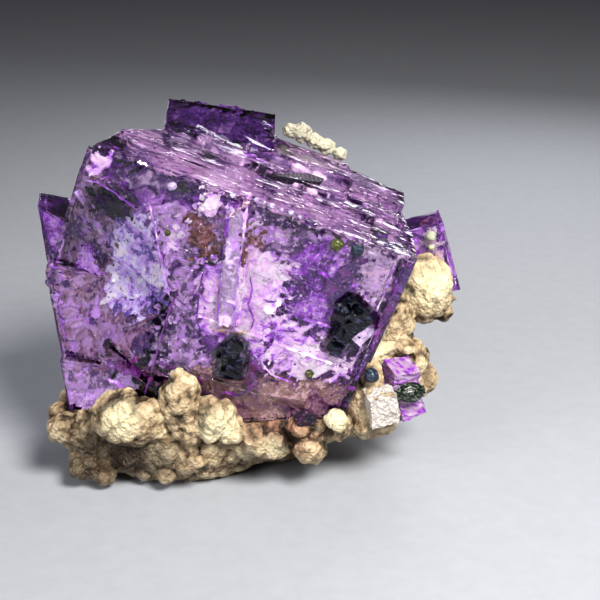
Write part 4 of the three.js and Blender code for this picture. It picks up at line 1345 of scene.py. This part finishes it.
def small_crystal(looks):
    """The two small violet crystals, with growth steps and streaks."""
    crystal = node_copy("fluorite_small", "small_violet_crystals")
    split_long_edges(crystal, 0.1)
    points = points_of(crystal)
    push(crystal, 0.12 * np.round(smooth_noise(points * (1, 1, 2.5), 0.6, 9) * 4) / 4 - 0.08)
    round_over(crystal, 18)
    material, tree, shader = new_material("small_crystal_violet")
    streaks = noise_pattern(tree, pattern_space(tree, SMALL_CRYSTAL_STRETCH), size=0.6, detail=5)
    set_colour(tree, shader, colour_steps(tree, streaks, SMALL_CRYSTAL))
    add_bump(tree, shader, streaks, strength=0.6, distance=0.06)
    set_finish(shader, roughness=0.12, transmission_weight=0.35, ior=looks.ior)
    finish_piece(crystal, material)
    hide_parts("fluorite_small")


def striated_facet():
    """A dark, ridged facet between the two small violet crystals."""
    columns, rows = FACET_GRID
    ups = np.linspace(-FACET_HALF_HEIGHT, FACET_HALF_HEIGHT, rows)
    across, up = np.meshgrid(np.linspace(-1, 1, columns), ups, indexing="ij")
    ridge = 0.06 * np.abs(((up + 0.18 * across**2) * 5.5) % 1 - 0.5)
    bow = 0.35 * (1 - across**2) * (1 - (up / 0.7) ** 2)
    taper = 1 - 0.7 * across**2
    places = np.stack([across, up * taper, ridge + bow], -1).reshape(-1, 3)
    cells = grid_corners(FACET_GRID).reshape(-1, 4).tolist()
    facet = new_piece("black_striated_facet", places, cells, FACET_PLACE)
    thicken(facet, FACET_THICKNESS)
    round_over(facet, 30)
    finish_piece(facet, dark_material("striated_facet_finish", *FACET_COLOURS))


def bead(name, at, radius, material, seed):
    """A slightly uneven ball of mineral."""
    shell = bmesh.new()
    bmesh.ops.create_icosphere(shell, subdivisions=4, radius=radius * MM)
    mesh = bpy.data.meshes.new(name)
    shell.to_mesh(mesh)
    shell.free()
    piece = link_piece(name, mesh)
    push(piece, smooth_noise(points_of(piece), radius * 0.9, seed) * radius * 0.22)
    move_points(piece, points_of(piece) + np.array(at))
    round_over(piece, 60)
    finish_piece(piece, material)


def beads(looks):
    """All the beads, with one material for each finish."""
    finishes = {"dark": dark_material("dark_bead", looks.dark, looks.glint, DARK_BEAD_STRIPE)}
    for name, colours in BEAD_FINISHES.items():
        finishes[name] = dark_material(name + "_bead", *colours)
    for name, place, radius, finish, seed in BEADS:
        bead(name, place, radius, finishes[finish], seed)
    for seed, (name, place, radius, finish) in enumerate(CRYSTAL_BEADS, start=3):
        bead(name, from_crystal(place), radius, finishes[finish], seed)


# The stage

# The floor's half width and how far it lies under the specimen, in millimetres, and its grain's darker share
FLOOR_HALF = 400
FLOOR_DROP = 0.01
FLOOR_SHADE = 0.86

# Lights: a name, a place and an aim in millimetres, a size, a share of the key light's power and a colour
SOFTBOXES = [
    ("key_softbox", (50, -75, 105), (1, 0, 9), 55, 1, (1, 0.97, 0.92)),
    ("fill_softbox", (-90, -80, 60), (-3, 0, 9), 80, 0.25, (0.93, 0.95, 1)),
    ("back_softbox", (40, 90, 70), (0, 2, 14), 60, 0.14, (0.95, 0.95, 1)),
]


def floor(looks):
    """A pale, faintly grained floor, which belongs to the stage."""
    corners = [(-1, -1), (1, -1), (1, 1), (-1, 1)]
    points = [(x * FLOOR_HALF, y * FLOOR_HALF, -FLOOR_DROP) for x, y in corners]
    sheet = new_piece("studio_floor", points, [(0, 1, 2, 3)])
    material, tree, shader = new_material("pale_floor")
    grain = noise_pattern(tree, pattern_space(tree), size=1.1, detail=6)
    darker = [part * FLOOR_SHADE for part in looks.floor_colour]
    set_colour(tree, shader, mixed(tree, grain, looks.floor_colour, darker))
    add_bump(tree, shader, grain, strength=0.15, distance=0.2)
    set_finish(shader, roughness=0.7)
    sheet.data.materials.append(material)


def softbox(name, at, aim, size, power, colour):
    """A round, soft light."""
    light = bpy.data.lights.new(name, "AREA")
    light.shape = "DISK"
    light.size = size * MM
    light.energy = power
    light.color = colour
    lamp = bpy.data.objects.new(name, light)
    bpy.context.scene.collection.objects.link(lamp)
    lamp.location = Vector(at) * MM
    lamp.rotation_mode = "QUATERNION"
    lamp.rotation_quaternion = (Vector(aim) - Vector(at)).to_track_quat("-Z", "Y")


def studio(looks):
    """Faint light from all round, and the softboxes."""
    world = bpy.data.worlds.new("studio_air")
    world.use_nodes = True
    world.node_tree.nodes["Background"].inputs["Color"].default_value = rgba(looks.air_colour)
    world.node_tree.nodes["Background"].inputs["Strength"].default_value = looks.air_strength
    bpy.context.scene.world = world
    bpy.context.scene.view_settings.view_transform = "Standard"
    for name, at, aim, size, share, colour in SOFTBOXES:
        softbox(name, at, aim, size, looks.key_power * share, colour)


def camera():
    """The camera at the photograph's viewing angle."""
    lens = bpy.data.cameras.new("camera")
    lens.sensor_width = SENSOR_WIDTH
    lens.lens = SENSOR_WIDTH * CAMERA_DISTANCE / FRAME_WIDTH
    lens.clip_start = MM
    viewer = bpy.data.objects.new("camera", lens)
    bpy.context.scene.collection.objects.link(viewer)
    rise = math.radians(CAMERA_ELEVATION)
    outward = Vector((0, -math.cos(rise), math.sin(rise)))
    viewer.location = (Vector(CAMERA_AIM) + outward * CAMERA_DISTANCE) * MM
    viewer.rotation_mode = "QUATERNION"
    viewer.rotation_quaternion = (-outward).to_track_quat("-Z", "Y")
    bpy.context.scene.camera = viewer


# Settings

def colour_setting(name, description, default):
    """A colour that the panel shows."""
    return FloatVectorProperty(
        name=name, description=description, subtype="COLOR", size=3, min=0, max=1, default=default)


class FluoriteSettings(bpy.types.PropertyGroup):
    ior: FloatProperty(name="IOR", description="Index of refraction", default=1.434, min=1, max=2)
    body_colour: colour_setting(
        "Body colour", "Colour that light keeps inside the stone", (0.66, 0.14, 0.74))
    body_density: FloatProperty(name="Body density", description="Absorption per metre", default=320, min=0)
    skin_light: colour_setting("Light skin", "Paler streaks of the surface", (1.0, 0.97, 1.0))
    skin_dark: colour_setting("Dark skin", "Darker streaks of the surface", (0.93, 0.87, 0.99))
    facet_size: FloatProperty(
        name="Facet size", description="Longest edge of the surface mesh",
        unit="LENGTH", default=0.35 * MM, min=0.1 * MM)
    waviness: FloatProperty(
        name="Waviness", description="Depth of the slow waves in the faces",
        unit="LENGTH", default=0.06 * MM, min=0)
    strip_count: IntProperty(
        name="Growth strips", description="Thin strips that step the top", default=64, min=0)
    seed: IntProperty(name="Seed", description="Seed of the growth strips and chips", default=12, min=0)


class CalciteSettings(bpy.types.PropertyGroup):
    # The white, cream, tan and darkest colours are steps of painted shade on the nodules: the palest is a
    # painted highlight on the tops, the darkest is painted shade in the hollows and the shaded places
    white: colour_setting("White", "Colour of the palest nodule tops", (0.88, 0.78, 0.5))
    cream: colour_setting("Cream", "Colour of the nodules", (0.58, 0.46, 0.29))
    tan: colour_setting("Tan", "Colour between the nodules", (0.33, 0.235, 0.135))
    brown: colour_setting("Brown", "Colour of the deepest hollows", (0.035, 0.02, 0.009))
    rose: colour_setting("Rose", "Tint of the calcite under the fluorite's lower edge", (0.72, 0.5, 0.5))
    frosted: colour_setting("Frosted", "Colour of the white cleavage block", (0.6, 0.57, 0.57))
    ridge: colour_setting("Ridge", "Colour of the grains on the back ridge", (0.34, 0.35, 0.3))
    voxel: FloatProperty(
        name="Mesh step", description="Spacing of the crust's mesh",
        unit="LENGTH", default=0.135 * MM, min=0.1 * MM)
    nodule_size: FloatProperty(
        name="Nodule size", description="Size of the round nodules",
        unit="LENGTH", default=0.95 * MM, min=0.3 * MM)
    glow: FloatProperty(
        name="Glow", description="Share of light that wanders under the surface", default=0.25)


class GrainSettings(bpy.types.PropertyGroup):
    ior: FloatProperty(name="IOR", description="Index of refraction of the small crystals", default=1.434)
    dark: colour_setting("Black", "Colour of the dark grains", (0.003, 0.003, 0.005))
    glint: colour_setting("Glint", "Colour of the dark grains' bright stripes", (0.03, 0.035, 0.08))


class StageSettings(bpy.types.PropertyGroup):
    floor_colour: colour_setting("Floor", "Colour of the floor", (0.32, 0.335, 0.365))
    air_colour: colour_setting("Air", "Colour of the light from all round", (0.5, 0.48, 0.55))
    air_strength: FloatProperty(
        name="Air strength", description="Strength of the light from all round", default=0.12)
    key_power: FloatProperty(
        name="Key power", description="Power of the key light", unit="POWER", default=0.42)


# Operators

class SPECIMEN_OT_crystal(bpy.types.Operator):
    """Makes the clear violet fluorite crystal"""
    bl_idname = "specimen.crystal"
    bl_label = "Fluorite crystal"

    def execute(self, context):
        fluorite_crystal(context.scene.specimen_fluorite)
        return {"FINISHED"}


class SPECIMEN_OT_fractures(bpy.types.Operator):
    """Makes the broken inner faces of the fluorite"""
    bl_idname = "specimen.fractures"
    bl_label = "Inner fractures"

    def execute(self, context):
        inner_faces()
        shaded_wedge()
        small_blocks()
        return {"FINISHED"}


class SPECIMEN_OT_calcite(bpy.types.Operator):
    """Makes the calcite crust and the pale grains on the back ridge"""
    bl_idname = "specimen.calcite"
    bl_label = "Calcite"

    def execute(self, context):
        calcite_crust(context.scene.specimen_calcite)
        cleavage_rhomb(context.scene.specimen_calcite)
        back_grains(context.scene.specimen_calcite)
        return {"FINISHED"}


class SPECIMEN_OT_grains(bpy.types.Operator):
    """Makes the small violet crystals, the dark grains and the beads"""
    bl_idname = "specimen.grains"
    bl_label = "Grains"

    def execute(self, context):
        looks = context.scene.specimen_grains
        small_crystal(looks)
        striated_facet()
        dark_grain("dark_grain_right", looks, 1)
        dark_grain("dark_grain_low", looks, 2)
        beads(looks)
        return {"FINISHED"}


class SPECIMEN_OT_stage(bpy.types.Operator):
    """Makes the floor, the lights and the camera"""
    bl_idname = "specimen.stage"
    bl_label = "Stage"

    def execute(self, context):
        floor(context.scene.specimen_stage)
        studio(context.scene.specimen_stage)
        camera()
        return {"FINISHED"}


class SPECIMEN_PT_panel(bpy.types.Panel):
    bl_idname = "SPECIMEN_PT_panel"
    bl_label = "Specimen"
    bl_space_type = "VIEW_3D"
    bl_region_type = "UI"
    bl_category = "Specimen"

    def draw(self, context):
        for operator in OPERATORS:
            self.layout.operator(operator.bl_idname)
        for name in SETTINGS:
            box = self.layout.box()
            settings = getattr(context.scene, name)
            for prop in settings.bl_rna.properties:
                if not prop.is_readonly and prop.identifier != "name":
                    box.prop(settings, prop.identifier)


SETTINGS = {
    "specimen_fluorite": FluoriteSettings,
    "specimen_calcite": CalciteSettings,
    "specimen_grains": GrainSettings,
    "specimen_stage": StageSettings,
}
OPERATORS = (
    SPECIMEN_OT_crystal,
    SPECIMEN_OT_fractures,
    SPECIMEN_OT_calcite,
    SPECIMEN_OT_grains,
    SPECIMEN_OT_stage,
)


def register():
    """Adds the settings, the operators and the panel."""
    for name, group in SETTINGS.items():
        bpy.utils.register_class(group)
        setattr(bpy.types.Scene, name, PointerProperty(type=group))
    for operator in OPERATORS:
        bpy.utils.register_class(operator)
    bpy.utils.register_class(SPECIMEN_PT_panel)


def unregister():
    """Takes the panel, the operators and the settings away."""
    bpy.utils.unregister_class(SPECIMEN_PT_panel)
    for operator in reversed(OPERATORS):
        bpy.utils.unregister_class(operator)
    for name, group in reversed(SETTINGS.items()):
        delattr(bpy.types.Scene, name)
        bpy.utils.unregister_class(group)


def main():
    register()
    bpy.ops.specimen.stage()
    bpy.ops.specimen.crystal()
    bpy.ops.specimen.fractures()
    bpy.ops.specimen.calcite()
    bpy.ops.specimen.grains()


if __name__ == "__main__":
    main()
